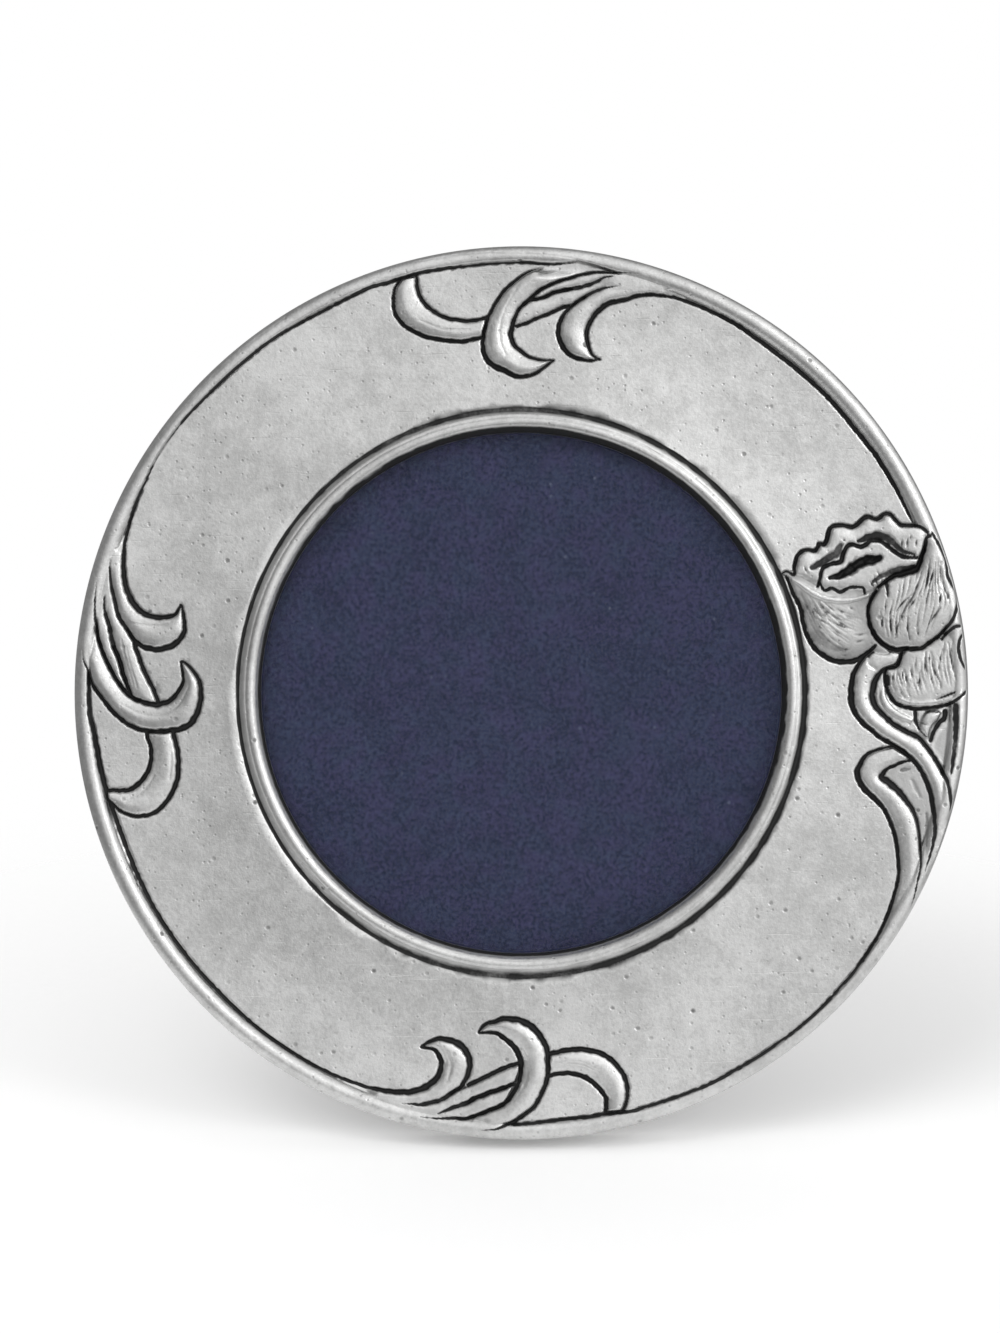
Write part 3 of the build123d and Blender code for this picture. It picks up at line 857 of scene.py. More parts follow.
        def at(rows: Sequence[Point]) -> tuple[Point, ...]:
            return plant.on_face(self.band, rows)

        def edge(rows: Sequence[Point], widths: tuple[float, ...]) -> None:
            self.add_line(Line(at(rows), tuple(plant.weight * width for width in widths)))

        low = at(plant.short_inner[:6] + plant.stem_low + ((2.4, 0.5),))
        high = at(plant.stem_high + ((1.8, 0.64),))
        self.add_leaf(Leaf(at(plant.under_inner), at(plant.under_outer), rise=0.85, ridge=0.2, root=0.3))
        edge(plant.under_inner, (0.5, 0.6, 0.58, 0.5))
        edge(plant.under_outer, (0.35, 0.52, 0.56, 0.58, 0.5))
        shoulder = ((plant.short_outer[0][0], 1.06), *plant.big_inner[:7])
        self.add_leaf(Leaf(at(plant.short_outer[:7]), at(shoulder), rise=0.78, ridge=0.0, edge=0.7))
        self.add_leaf(Leaf(high, low, rise=0.75, ridge=0.0))
        self.add_leaf(Leaf(at(plant.big_inner[:9] + ((1.8, 0.64),)), high, rise=0.75, ridge=0.0))
        edge(plant.stem_low, (0.5, 0.5, 0.45))
        edge(plant.stem_high, (0.2, 0.55, 0.6, 0.5))
        self.add_leaf(Leaf(at(plant.short_outer), at(plant.short_inner), rise=0.9, ridge=0.1))
        edge(plant.short_outer, (0.4, 0.6, 0.75, 0.68, 0.6, 0.3))
        edge(plant.short_inner, (0.12, 0.5, 0.52, 0.68, 0.75, 0.55, 0.3))
        self.add_leaf(Leaf(at(plant.big_inner), at(plant.big_outer), rise=1.0, ridge=0.15))
        edge(plant.big_inner, (0.12, 0.45, 0.52, 0.52, 0.72, 0.55, 0.3))
        edge(plant.big_outer, (0.12, 0.5, 0.55, 0.6, 0.8, 0.55, 0.3))
        # Painted shade: wide faint dark bands over the fronds' shaded facets.
        for shade in plant.shades:
            self.add_line(chased(at(shade), (0.4, 1.1, 1.1, 0.4), 0.02, 0.45))
        for crease in plant.creases:
            self.add_line(chased(at(crease), (0.2, 0.45, 0.2), 0.06, 0.28))


# What is on the face, read off the photograph

TOP_PLANT = Plant(
    axis=90.0,
    size=1.0,
    short_outer=((-21, 0.965), (-18, 0.93), (-16, 0.885), (-15, 0.85), (-13.5, 0.815), (-12.5, 0.785), (-11.8, 0.75),
                 (-11, 0.7), (-10.6, 0.65), (-10.3, 0.6), (-10.3, 0.55), (-10.6, 0.5), (-11.2, 0.45), (-12, 0.41),
                 (-13.3, 0.395)),
    short_inner=((-13.8, 0.93), (-12.5, 0.905), (-11.5, 0.885), (-10.5, 0.855), (-8.8, 0.79), (-7.6, 0.735),
                 (-6.8, 0.69), (-6.3, 0.65), (-6, 0.61), (-5.8, 0.56), (-6, 0.5), (-6.5, 0.46), (-7.2, 0.42),
                 (-8, 0.39), (-9, 0.375), (-10.5, 0.37), (-12, 0.375), (-13.2, 0.395)),
    stem_low=((-7, 0.725), (-6, 0.71), (-5, 0.68), (-4, 0.655), (-3, 0.635), (-2, 0.615), (-1, 0.59), (0.7, 0.565)),
    stem_high=((-12.3, 0.98), (-11.3, 0.96), (-10.5, 0.925), (-9, 0.88), (-7, 0.845), (-5, 0.815), (-4, 0.79),
               (-3, 0.765), (-1.3, 0.745)),
    big_inner=((-15.8, 1.04), (-14, 1.025), (-12, 1.005), (-10, 0.985), (-8, 0.95), (-7, 0.925), (-5, 0.885),
               (-3, 0.83), (-2, 0.79), (-1, 0.745), (0, 0.7), (0.6, 0.66), (1.1, 0.61), (1.5, 0.55), (1.7, 0.5),
               (1.5, 0.46), (1, 0.42), (0, 0.385), (-1, 0.355), (-2, 0.34), (-3.5, 0.33), (-5.5, 0.335)),
    big_outer=((-3, 0.98), (-2, 0.965), (-1.2, 0.95), (-0.3, 0.925), (0.5, 0.895), (1.5, 0.855), (2.3, 0.82),
               (3, 0.78), (3.8, 0.73), (4.4, 0.68), (5, 0.64), (5.4, 0.6), (5.8, 0.55), (6.1, 0.5), (6.3, 0.45),
               (6.3, 0.4), (5.9, 0.34), (5, 0.3), (4, 0.275), (3, 0.255), (2, 0.23), (1, 0.215), (0, 0.21),
               (-1, 0.215), (-2.5, 0.235), (-3.5, 0.265), (-4.5, 0.3), (-5.4, 0.33)),
    under_inner=((14.1, 1.01), (14.3, 0.96), (14.4, 0.91), (14.3, 0.85), (13.8, 0.79), (13, 0.74), (12, 0.695),
                 (11, 0.665), (10, 0.65), (9, 0.635), (8, 0.625), (7, 0.625), (6, 0.63), (5.0, 0.64)),
    under_outer=((16.2, 1.015), (16.8, 0.99), (17.3, 0.965), (17.8, 0.92), (18.2, 0.86), (18.4, 0.8), (18.2, 0.76),
                 (17.7, 0.7), (17, 0.66), (16, 0.615), (15, 0.58), (14, 0.555), (12, 0.52), (10, 0.495), (9, 0.49),
                 (8, 0.495), (6, 0.5)),
    creases=(((0.6, 0.83), (2.2, 0.7), (3.2, 0.58), (3.4, 0.46), (2.6, 0.36)), ((8, 0.56), (12, 0.6), (15.3, 0.7))),
    shades=(((4.7, 0.58), (4.9, 0.48), (4.6, 0.37)), ((17.5, 0.93), (17.9, 0.84))),
)
LEFT_PLANT = Plant(
    axis=180.3,
    size=1.0,
    short_outer=((-21, 0.965), (-19, 0.935), (-17, 0.9), (-15.5, 0.865), (-14, 0.815), (-13, 0.765), (-12.3, 0.71),
                 (-12, 0.65), (-12.1, 0.58), (-12.5, 0.52), (-13.2, 0.475), (-14.8, 0.46)),
    short_inner=((-18.5, 1.02), (-17, 1.0), (-15, 0.96), (-13, 0.91), (-11, 0.86), (-9.5, 0.79), (-8.5, 0.75),
                 (-7.8, 0.71), (-7.3, 0.66), (-7.1, 0.6), (-7.2, 0.54), (-7.8, 0.48), (-8.5, 0.44), (-9.5, 0.41),
                 (-10.5, 0.395), (-11.5, 0.4), (-12.8, 0.415), (-14.7, 0.45)),
    stem_low=((-7.8, 0.725), (-7, 0.715), (-6, 0.69), (-4, 0.65), (-3, 0.625), (-2, 0.6), (-1, 0.575), (1, 0.54)),
    stem_high=((-13.3, 0.99), (-12, 0.975), (-11, 0.955), (-9, 0.905), (-7, 0.87), (-5, 0.82), (-4, 0.8),
               (-3, 0.785), (-2, 0.765), (0, 0.73)),
    big_inner=((-15, 1.065), (-13, 1.05), (-11, 1.03), (-9, 1.0), (-8, 0.985), (-7, 0.965), (-5, 0.915), (-3, 0.855),
               (-1.5, 0.805), (-0.6, 0.77), (0, 0.74), (0.6, 0.7), (1, 0.65), (1.4, 0.6), (1.5, 0.55), (1.4, 0.51),
               (1, 0.46), (0.2, 0.42), (-0.8, 0.39), (-2, 0.365), (-3.5, 0.367), (-5.6, 0.39)),
    big_outer=((-6, 1.08), (-4.6, 1.065), (-3.5, 1.035), (-2.5, 1.02), (-1.5, 1.0), (-0.5, 0.965), (0.5, 0.925),
               (1.5, 0.89), (2.5, 0.85), (3.3, 0.81), (4.2, 0.76), (4.8, 0.71), (5.3, 0.66), (5.6, 0.6), (5.8, 0.55),
               (5.8, 0.43), (5.6, 0.38), (5, 0.325), (4, 0.29), (3, 0.265), (1, 0.24), (-1, 0.24), (-2, 0.245),
               (-3, 0.265), (-4, 0.295), (-5, 0.335), (-5.7, 0.38)),
    under_inner=((12.9, 0.98), (13.1, 0.94), (13.4, 0.88), (13.6, 0.83), (13.3, 0.78), (12.8, 0.73), (12, 0.685),
                 (11, 0.65), (10, 0.63), (9, 0.62), (8, 0.615), (7, 0.625), (5.3, 0.64)),
    under_outer=((14.2, 0.985), (15, 0.955), (16, 0.925), (16.8, 0.88), (17.3, 0.84), (17.7, 0.78), (17.8, 0.72),
                 (17.5, 0.66), (16.8, 0.6), (16, 0.555), (15, 0.515), (14, 0.485), (13, 0.465), (11, 0.445),
                 (9, 0.435), (7, 0.445), (5.6, 0.45)),
    creases=(((-10.4, 0.77), (-10.6, 0.66), (-10.9, 0.56), (-11.8, 0.49)),
             ((1.2, 0.8), (2.6, 0.68), (3.2, 0.58), (3, 0.48), (1.6, 0.39), (-1.5, 0.32)),
             ((15, 0.87), (14.6, 0.76), (13.5, 0.68), (12.4, 0.63)), ((9.3, 0.48), (11, 0.49), (13.5, 0.53)),
             ((-8, 0.82), (-5, 0.77), (-1.5, 0.71)), ((-7, 0.78), (-4, 0.73), (-1, 0.68))),
    weight=1.2,
    shades=(((-8, 0.88), (-6, 0.83), (-4, 0.78), (-1.4, 0.73)), ((-2, 0.55), (-0.2, 0.525)),
            ((1, 0.89), (3.6, 0.78), (4.8, 0.68))),
)
BOTTOM_PLANT = Plant(
    axis=268.0,
    size=0.92,
    short_outer=((-21, 0.955), (-19, 0.94), (-17, 0.92), (-15, 0.89), (-14, 0.865), (-13, 0.835), (-12, 0.785),
                 (-11.3, 0.74), (-11, 0.69), (-11, 0.64), (-11.3, 0.59), (-12, 0.55), (-13, 0.525), (-15, 0.535)),
    short_inner=((-15.5, 0.985), (-14, 0.967), (-13, 0.96), (-12, 0.94), (-10, 0.89), (-8, 0.8), (-7.2, 0.76),
                 (-6.8, 0.71), (-6.4, 0.65), (-6.4, 0.6), (-6.7, 0.54), (-7.2, 0.5), (-8, 0.465), (-9, 0.445),
                 (-10, 0.435), (-11, 0.43), (-12, 0.435), (-13, 0.45), (-14, 0.485), (-14.9, 0.525)),
    stem_low=((-6.2, 0.745), (-5, 0.71), (-4, 0.68), (-3, 0.655), (-2, 0.625), (-1, 0.6), (0, 0.58), (1.8, 0.55)),
    stem_high=((-10, 0.995), (-9, 0.96), (-8, 0.93), (-6, 0.88), (-5, 0.84), (-4, 0.815), (-3, 0.79), (-2, 0.77),
               (-1, 0.75), (1, 0.71)),
    big_inner=((-12.4, 1.045), (-10, 1.03), (-8, 1.01), (-6, 1.0), (-5, 0.98), (-4, 0.955), (-3, 0.93), (-1, 0.88),
               (0, 0.84), (0.8, 0.79), (1.5, 0.73), (1.9, 0.67), (2.1, 0.6), (2.1, 0.54), (1.8, 0.49), (1.2, 0.44),
               (0.3, 0.4), (-1, 0.36), (-2, 0.335), (-3, 0.325), (-4, 0.33), (-5.5, 0.34)),
    big_outer=((-3.5, 1.07), (-2, 1.06), (-1, 1.045), (0, 1.02), (1, 1.0), (2, 0.965), (3, 0.93), (4, 0.89),
               (4.7, 0.84), (5.2, 0.8), (5.8, 0.74), (6.3, 0.68), (6.6, 0.6), (6.7, 0.51), (6.6, 0.45), (6.2, 0.4),
               (5.6, 0.35), (4.8, 0.305), (4, 0.27), (3, 0.245), (2, 0.225), (0, 0.215), (-1, 0.215), (-2, 0.225),
               (-3, 0.245), (-4.3, 0.265), (-5, 0.29), (-5.6, 0.33)),
    under_inner=((14.5, 0.99), (14.8, 0.95), (15, 0.89), (14.7, 0.84), (14, 0.78), (13, 0.72), (12, 0.685),
                 (11, 0.665), (10, 0.65), (9, 0.645), (8, 0.645), (6.8, 0.655), (5.8, 0.66)),
    under_outer=((17, 1.01), (17.4, 0.98), (18, 0.93), (18.4, 0.87), (18.6, 0.8), (18.4, 0.73), (17.8, 0.66),
                 (17, 0.6), (16, 0.555), (15, 0.525), (14, 0.505), (13, 0.49), (12, 0.48), (10, 0.475), (8, 0.485),
                 (6.2, 0.49)),
    creases=(((0.8, 0.85), (2.8, 0.7), (3.3, 0.6), (3.1, 0.5), (2, 0.4)), ((8.5, 0.56), (12, 0.59), (14.6, 0.67)),
             ((-9.6, 0.75), (-9.4, 0.62), (-10.6, 0.52))),
    shades=(((2.7, 0.74), (3.0, 0.64), (2.9, 0.53)),),
    weight=1.3,
)

# Flower and its stems: face points in millimetres.
FLOWER_STEM = Leaf(
    ((49.1, -21.8), (49.6, -20.2), (50.1, -18.2), (50.3, -16.2), (50.3, -15), (50, -12.7), (49.4, -10.8),
     (48.4, -8.9), (47, -7.5), (45.3, -6.3), (43.6, -5.3), (41.8, -3.8), (40.5, -1.9), (40.2, 0), (40.4, 2),
     (41, 3.3), (41.9, 4.6)),
    ((50.6, -21.5), (51.4, -19.5), (52.1, -17.5), (52.3, -15.5), (52.3, -13.2), (51.9, -11), (51, -9), (49.8, -7.1),
     (48.6, -5.6), (47, -4.8), (45, -3.5), (43.5, -2), (42.8, 0), (43.1, 1.5), (43.7, 2.4), (44.5, 3), (45.8, 3.3)),
    rise=0.95,
    ridge=-0.1,
)
LEAF_STEM = Leaf(
    ((41.2, -33), (42.6, -31), (44.3, -28), (45.4, -25), (46, -21), (45.8, -19), (45.1, -16), (43.4, -13.2),
     (41.8, -11.7), (41, -10.3), (41, -9.5), (41.7, -8), (43.2, -7), (45.2, -6.5)),
    ((43.8, -32.0), (45.6, -29.5), (47.3, -26.2), (48, -24.2), (48.6, -21), (48.6, -18.6), (48.2, -15.5),
     (46.8, -12.9), (45.3, -11.3), (43.9, -10.3), (44.1, -9.8), (45.4, -8.9), (47, -8.3), (47.8, -8.2)),
    rise=0.85,
    ridge=0.15,
)
STEM_LINES = (
    Line(((45.2, -6.5), (44.2, -6.7), (43.2, -7), (42.3, -7.4), (41.7, -8), (41.3, -8.7), (41, -9.5), (41, -10.3),
          (41.8, -11.7), (43.4, -13.2), (44.2, -14.1), (45.1, -16), (45.7, -18), (46, -21), (45.9, -23), (45, -26),
          (43.8, -29), (42.6, -31), (41.9, -32)), (0.3, 0.4, 0.55, 0.9, 0.9, 0.6, 0.6, 0.45, 0.45, 0.45)),
    Line(((47.8, -8.2), (47, -8.3), (46.2, -8.5), (45.4, -8.9), (44.6, -9.2), (44.1, -9.8), (43.9, -10.3),
          (44.5, -10.7), (45.3, -11.3), (46, -12), (46.8, -12.9), (47.9, -14.6), (48.4, -16.5), (48.6, -18.6),
          (48.6, -21), (48.2, -23), (47.7, -25.2), (47, -27)), (0.3, 0.5, 0.5, 0.9, 1.1, 0.9, 0.5, 0.4, 0.3, 0.1)),
    Line(((41.9, 4.6), (41, 3.3), (40.4, 2), (40.2, 0), (40.2, -1), (40.5, -1.9), (41, -2.9), (41.8, -3.8),
          (42.7, -4.5), (43.6, -5.3), (45.3, -6.3), (47, -7.5), (48.4, -8.9), (49.4, -10.8), (50, -12.7), (50.3, -15),
          (50.3, -17.2), (49.9, -19.2), (49.1, -21.8)), (0.4, 0.7, 1.0, 0.8, 0.7, 0.6, 0.7, 0.7, 0.7, 0.6, 0.15)),
    Line(((45.8, 3.3), (44.5, 3), (43.7, 2.4), (43.1, 1.5), (42.8, 0), (42.9, -1), (43.5, -2), (45, -3.5), (46, -4.2),
          (48, -5.2), (48.6, -5.6), (49.8, -7.1), (51, -9), (51.9, -11), (52.3, -13.2), (52.3, -14.5), (52.1, -15.6)),
         (0.3, 0.6, 1.0, 1.1, 0.8, 0.8, 0.7, 0.7, 0.65, 0.5, 0.15)),
)
STEM_POCKETS = (
    ((43.9, -9.8), (47.7, -8.2), (50.2, -12.6), (50.3, -17.1), (49.3, -20.6), (48.6, -18.3), (48.1, -16.1),
     (46.6, -13.4), (44.3, -11.1)),
    ((49.9, -6.3), (52.3, -3), (53.0, -2.5), (52.5, -9.3), (52.0, -10.1), (51.0, -8.6)),
)
NODE = Petal(
    ((42.6, 5.0), (44.8, 5.2), (46.2, 4.9), (45.7, 3.5), (44.4, 3.1), (43.4, 2.6), (42, 3.4)),
    rise=0.9,
    edge_rise=0.5,
    swell=1.2,
)
STEM_STREAKS = (
    chased(((46.3, -9.4), (47.3, -9.3)), (0.5, 0.7, 0.4), 0.1, 0.55),
    chased(((49.4, -14.6), (49.5, -16.5), (49.3, -18.6)), (0.3, 0.6, 0.3), 0.1, 0.5),
    chased(((47.6, -10.6), (48.6, -12.6)), (0.4, 0.7, 0.4), 0.08, 0.4),
    chased(((52.9, -1.5), (52.9, -3), (52.9, -5), (52.7, -7), (52.5, -8.5), (52.3, -9.8)),
           (1.0, 1.0, 0.8, 0.7, 0.3), 0.2, 0.85),
    chased(((53.9, -3), (53.8, -7), (53.6, -11), (53.2, -15)), (0.1, 0.3, 0.3, 0.1), 0.04, 0.35),
)
SPATHE = Leaf(
    ((43.9, 1.2), (43.6, -0.5), (44.2, -1.9), (45.2, -2.8), (46.3, -3.4), (47.6, -3.7)),
    ((44.2, 1.2), (44.6, -0.4), (45.2, -1.4), (46.2, -2.2), (47.2, -2.7), (48, -3.2)),
    rise=0.32,
    ridge=0.0,
    edge=0.05,
)
SPATHE_TIP = Petal(
    ((49.2, -2.3), (51.2, -2.2), (50.9, -3.2), (50.3, -3.9), (49.9, -4.7), (49.6, -5.6), (48.8, -5), (48.4, -4.2)),
    rise=0.6,
    edge_rise=0.05,
    swell=1.0,
)
SPATHE_LINES = (
    Line(((48.0, -2.1), (48.1, -3.4), (48.5, -4.4)), (0.5, 0.6, 0.3), 0.2),
    chased(((48.2, -3.5), (49.5, -3.9)), (0.2, 0.4, 0.2), 0.1, 0.6),
    Line(((51.7, -2.2), (51.6, -3.1), (51, -3.6), (50.5, -4.3), (50.2, -5), (49.9, -5.8)), (0.8, 0.7, 0.6, 0.6)),
)
CALYX_FOOT = ((44.3, 2.4), (44.4, 1.2), (44.9, -0.2), (45.6, -1.2), (46.8, -1.7), (48.5, -1.9), (50.5, -1.7),
              (52.2, -1.3), (53.5, -0.4))
CALYX = Petal(
    (*CALYX_FOOT, (54.2, 0.4), (54.3, 2.6), (53.9, 4.0), (53.9, 6.2), (53.9, 8), (53.3, 8.2), (52.6, 8), (51.9, 7.4),
     (50.9, 7.1), (49.5, 6.3), (47.5, 5.9), (46.4, 4.9), (45.8, 3.3), (44.5, 3)),
    rise=0.95,
    edge_rise=0.4,
    swell=2.6,
    tint=0.3,
)
CALYX_LINES = (
    Line(((44.5, 3), *CALYX_FOOT, (54.4, 0.4)), (0.4, 0.5, 0.55, 0.6, 0.55, 0.4)),
    Line(((46.4, 4.9), (45.8, 3.3), (44.5, 3)), (0.5, 0.5, 0.4)),
    Line(((53.9, 7.2), (53.4, 6.6), (53.2, 5.6), (53.3, 4.6), (53.7, 3.6), (54.1, 2.8)), (0.4, 0.5, 0.5, 0.2)),
    chased(((50.5, -0.8), (51.8, -0.3), (52.8, 0.1)), (0.2, 0.4, 0.3), 0.15, 0.9),
    Line(((51.2, 6.6), (51.9, 7.4), (52.6, 8), (53.3, 8.2), (53.9, 8)), (0.4, 0.5, 0.4)),
    chased(((44.6, 2), (44.7, 1.1)), (0.6, 0.6), 0.2, 1.0),
    chased(((45.9, -0.6), (47.4, -1.2), (49.8, -1.2), (51.8, -0.8), (53.5, 0)),
           (0.2, 0.5, 0.7, 0.7, 0.5), -0.12, 0),
)
CALYX_FAN = Fan(((45, 2.6), (45, 1.0), (45.9, -0.8)), ((52.8, 7.2), (52.6, 4.4), (53.1, 0.9)), count=14, soot_and_shade=0.82)
CALYX_RIBS = (
    ((45.3, 2.4), (45.2, 1.4)), ((45.9, 2.4), (46.3, 1)), ((46.6, 2.9), (46.9, 1.6), (47, 0.6)),
    ((47.4, 2.8), (47.6, 1.8)), ((48.4, 2.6), (48.5, 1.4), (48.4, 0.5)), ((49.2, 5), (49.2, 3.5), (49.5, 2.2)),
    ((49.9, 5), (50, 3.6), (50.3, 2.6), (50.9, 1.4), (51, 0.6)), ((51.2, 5.3), (51, 4.2), (50.9, 3.6)),
    ((52, 6), (52.2, 4.6), (52.5, 3.2), (52.9, 1.6)),
)
LEFT_PETAL_FOOT = (
    (32.6, 13.6), (33, 12.4), (33.6, 11.2), (34.1, 10), (34.3, 8.8), (34.6, 7.6), (35, 6.6), (35.8, 5.4), (36.8, 4.6),
    (38, 4), (39.2, 3.8), (40.4, 3.9), (41.5, 4.4), (42.4, 5.1),
)
LEFT_PETAL = Petal(
    ((31.6, 14.6), *LEFT_PETAL_FOOT, (43.4, 4.6), (44.8, 4.6), (44.9, 5.2), (44.2, 5.9), (43.4, 7), (42.6, 8.4),
     (42.4, 10), (42.6, 11.5), (43.5, 13.2), (41.5, 14), (38.5, 14.5), (36.5, 14.9), (34.5, 15.2), (32.8, 15.0)),
    rise=0.74,
    edge_rise=0.45,
    swell=4.5,
    tint=0.46,
)
LEFT_PETAL_EDGE = Line(
    ((32.2, 14.2), *LEFT_PETAL_FOOT, (43.1, 5.8)), (0.4, 0.6, 0.6, 0.6, 0.75, 0.8, 0.75, 0.5)
)
# Painted shade: a wide faint dark band along the left petal's left and lower edge.
LEFT_PETAL_SHADE = chased(
    ((33.9, 12.2), (34.7, 10.4), (35.2, 8.6), (36, 7), (37.4, 5.8), (39.4, 5.2)),
    (0.6, 2.0, 2.6, 2.4, 1.6, 0.6),
    depth=0.03,
    soot_and_shade=0.5,
)
LEFT_PETAL_FAN = Fan(
    ((33.6, 12.4), (34.7, 9.8), (35.8, 7.2), (38.6, 4.6)),
    ((37, 11.2), (38.6, 10.2), (40.4, 9.6), (42, 9.4)),
    count=14,
)
LEFT_PETAL_LIP = ((33, 13.8), (34, 13.2), (35, 12.5), (36, 11.9), (37.2, 11.5), (38.8, 11.3), (40.5, 11.4),
                  (42.2, 11.9))
LEFT_PETAL_CREASES = (
    ((33.9, 12), (34.9, 10.2), (35.5, 8.8)), ((34.8, 11.3), (36, 9.8), (37, 8.9)),
    ((36, 11), (37.2, 9.9), (38.6, 9), (39.6, 8.8)), ((39.9, 10.5), (40.4, 10.1)),
    ((37.3, 8.9), (38.8, 8.2), (40, 7.8)), ((40.5, 7), (41.4, 7.1), (42.2, 7.2)), ((40.6, 6.2), (41.8, 6.4)),
    ((39, 5.3), (40, 5.3)), ((38.9, 4.6), (39.8, 4.6)), ((35.4, 9.2), (36.6, 8.8), (37.3, 8.3)),
    ((36, 8.4), (36.7, 7.6)), ((38.5, 6.4), (38.8, 6.3)),
)
FRILL = ((33.2, 14.4), (33.3, 15.5), (33.6, 16.6), (34.3, 17.3), (35, 17.4), (35.7, 17.3), (36.1, 17.7), (36.3, 18.2),
         (36.9, 18.1), (37.2, 18.6), (37.4, 19.3), (37.6, 20), (38.2, 20.4), (39.3, 20.4), (40.3, 20.2), (41, 20.6),
         (41.6, 21.2), (42.3, 21.5), (43, 21.2), (43.6, 21.3), (44.2, 21.8), (44.9, 21.8), (45.5, 21.2), (46.2, 20.5),
         (47, 20.4), (48, 20.4), (48.8, 20.1), (49.4, 19.6))
MOUTH = Petal(
    FRILL + ((49.2, 18.2), (48.9, 17), (48.4, 15.7), (47.6, 14.9), (46.6, 14.6), (45.5, 14.3), (44.5, 13.7),
             (43.5, 12.9), (42, 12.3), (40, 12.4), (38, 12.5), (36.9, 12.5), (35.5, 13.2), (34.3, 13.9)),
    rise=1.05,
    edge_rise=0.5,
    swell=1.6,
)
MOUTH_LINES = (
    Line(((31.8, 14.6), (32.4, 14.8), *FRILL), (0.3, 0.6, 0.6, 0.65, 0.65, 0.7, 0.6, 0.6, 0.5)),
    Line(((36.1, 13), (36.4, 14.2), (36.6, 15), (37, 15.4), (38, 15.8), (38.9, 16), (39.2, 17), (39.6, 17.8),
          (40.3, 18.1), (41.2, 17.8), (41.9, 18), (42.5, 18.5), (43.4, 18.6), (44.2, 18.2), (45, 17.6), (45.8, 17),
          (46.5, 16.6), (47.4, 16.5), (48.2, 16.5)), (0.5, 0.6, 0.7, 0.65, 0.65, 0.6, 0.7, 0.4)),
    Line(((37.5, 14), (39, 14.4), (40.3, 15.2), (41.3, 15.9), (42.5, 16.2), (43.6, 16.4)),
         (0.5, 1.3, 1.5, 1.6, 1.5, 1.0)),
    chased(((36.3, 13.4), (36.9, 12.5), (37.8, 12.8), (38.8, 12.3), (39.8, 12.8), (40.8, 12.9), (41.6, 12.8),
            (41.8, 12.2)),
           (0.4, 0.5, 0.5, 0.4), 0.3, 1.0),
)
# Painted shade in the mouth, under and beside the frill: wide dark bands over shallow hollows.
MOUTH_SHADES = (
    chased(((41.0, 18.5), (42.4, 19.0), (43.8, 19.1), (45, 18.5), (46.2, 17.4), (47.8, 16.9)),
           (0.6, 1.3, 1.5, 1.2, 0.8, 0.5), 0.25, 0.8),
    chased(((38.9, 18), (38.3, 17), (37, 16.2), (36.2, 15.7), (35.3, 15.2)),
           (0.8, 1.5, 1.2, 1.2, 0.7), 0.25, 0.72),
    chased(((42.8, 13.6), (44.2, 14.4), (45.6, 15), (46.8, 15.2), (47.8, 15.5)),
           (0.5, 0.9, 1.0, 0.9, 0.5), 0.15, 0.75),
)
FRILL_PLEATS = (
    ((42.4, 13.6), (43, 12.8)), ((42.9, 14.2), (43.6, 12.8)), ((43.3, 14.8), (44, 13.6)), ((44, 14.8), (44.5, 13.9)),
    ((44.6, 15), (45.1, 14.2)), ((46.3, 18.6), (46.3, 17.9)), ((47, 18.8), (46.9, 17.6)),
    ((47.4, 19.2), (47.3, 18.7)), ((48.1, 18.6), (48, 17.9)), ((39.2, 18.7), (39.4, 18.5)),
    ((34.4, 15.4), (34.8, 14.6)),
)
RIGHT_PETAL_EDGE = ((43.5, 12.9), (44.5, 13.7), (45.5, 14.3), (46.6, 14.6), (47.6, 14.9), (48.2, 15.2), (48.5, 15.9),
                    (48.9, 17), (49.2, 18), (49.3, 18.9), (49.8, 19.2))
RIGHT_PETAL_RIM = ((50, 19.5), (50.4, 18.8), (51, 17.8), (51.5, 16.8), (51.8, 15.5), (51.9, 14.2), (52.4, 13.3),
                   (52.9, 12.4), (53.1, 11.2), (53, 10.2), (52.5, 9), (51.8, 8), (50.9, 7), (49.5, 6), (48.5, 5.4),
                   (47, 5.4), (45.5, 5.3), (44.2, 5.9), (43.2, 6.9), (42.6, 8), (42.3, 9.2), (42.3, 10.5),
                   (42.7, 11.5), (43.3, 12.4))
RIGHT_PETAL = Petal(RIGHT_PETAL_EDGE + RIGHT_PETAL_RIM, rise=1.2, edge_rise=0.5, swell=3.2, tint=0.2)
RIGHT_PETAL_LINES = (
    Line(RIGHT_PETAL_EDGE, (0.4, 0.85, 1.15, 0.8, 0.6, 0.4)),
    Line(RIGHT_PETAL_RIM, (0.4, 0.5, 0.5, 0.55, 0.5, 0.7, 0.8, 0.6, 0.4)),
    chased(((44.5, 13.2), (44.6, 11.7)), (0.6, 0.5, 0.2), 0.15, 0.9),
)
RIGHT_PETAL_VEINS = (
    ((43.9, 9.3), (43.9, 8)), ((44.9, 9.3), (45, 7)), ((45.9, 8.6), (45.7, 7.8), (45.5, 6.6)),
    ((46.3, 9.6), (46.3, 8.8)), ((47, 9.2), (47, 7.9), (47.3, 6.4)), ((48.2, 7.6), (48.3, 7)),
    ((48.4, 13.9), (48, 12.7), (47.4, 11.3), (46.6, 10.2), (46.3, 9.4)), ((47.5, 12), (46.4, 11), (45.6, 9.9)),
    ((49.6, 15.5), (49.4, 13.6), (48.9, 12.3)), ((50.2, 15), (49.6, 13)), ((48, 11.5), (47.1, 10.3)),
    ((51, 12), (50.9, 11)), ((51.9, 12.3), (51.9, 11.4)), ((51, 10.4), (50.2, 9.3), (49.8, 8.6)),
)
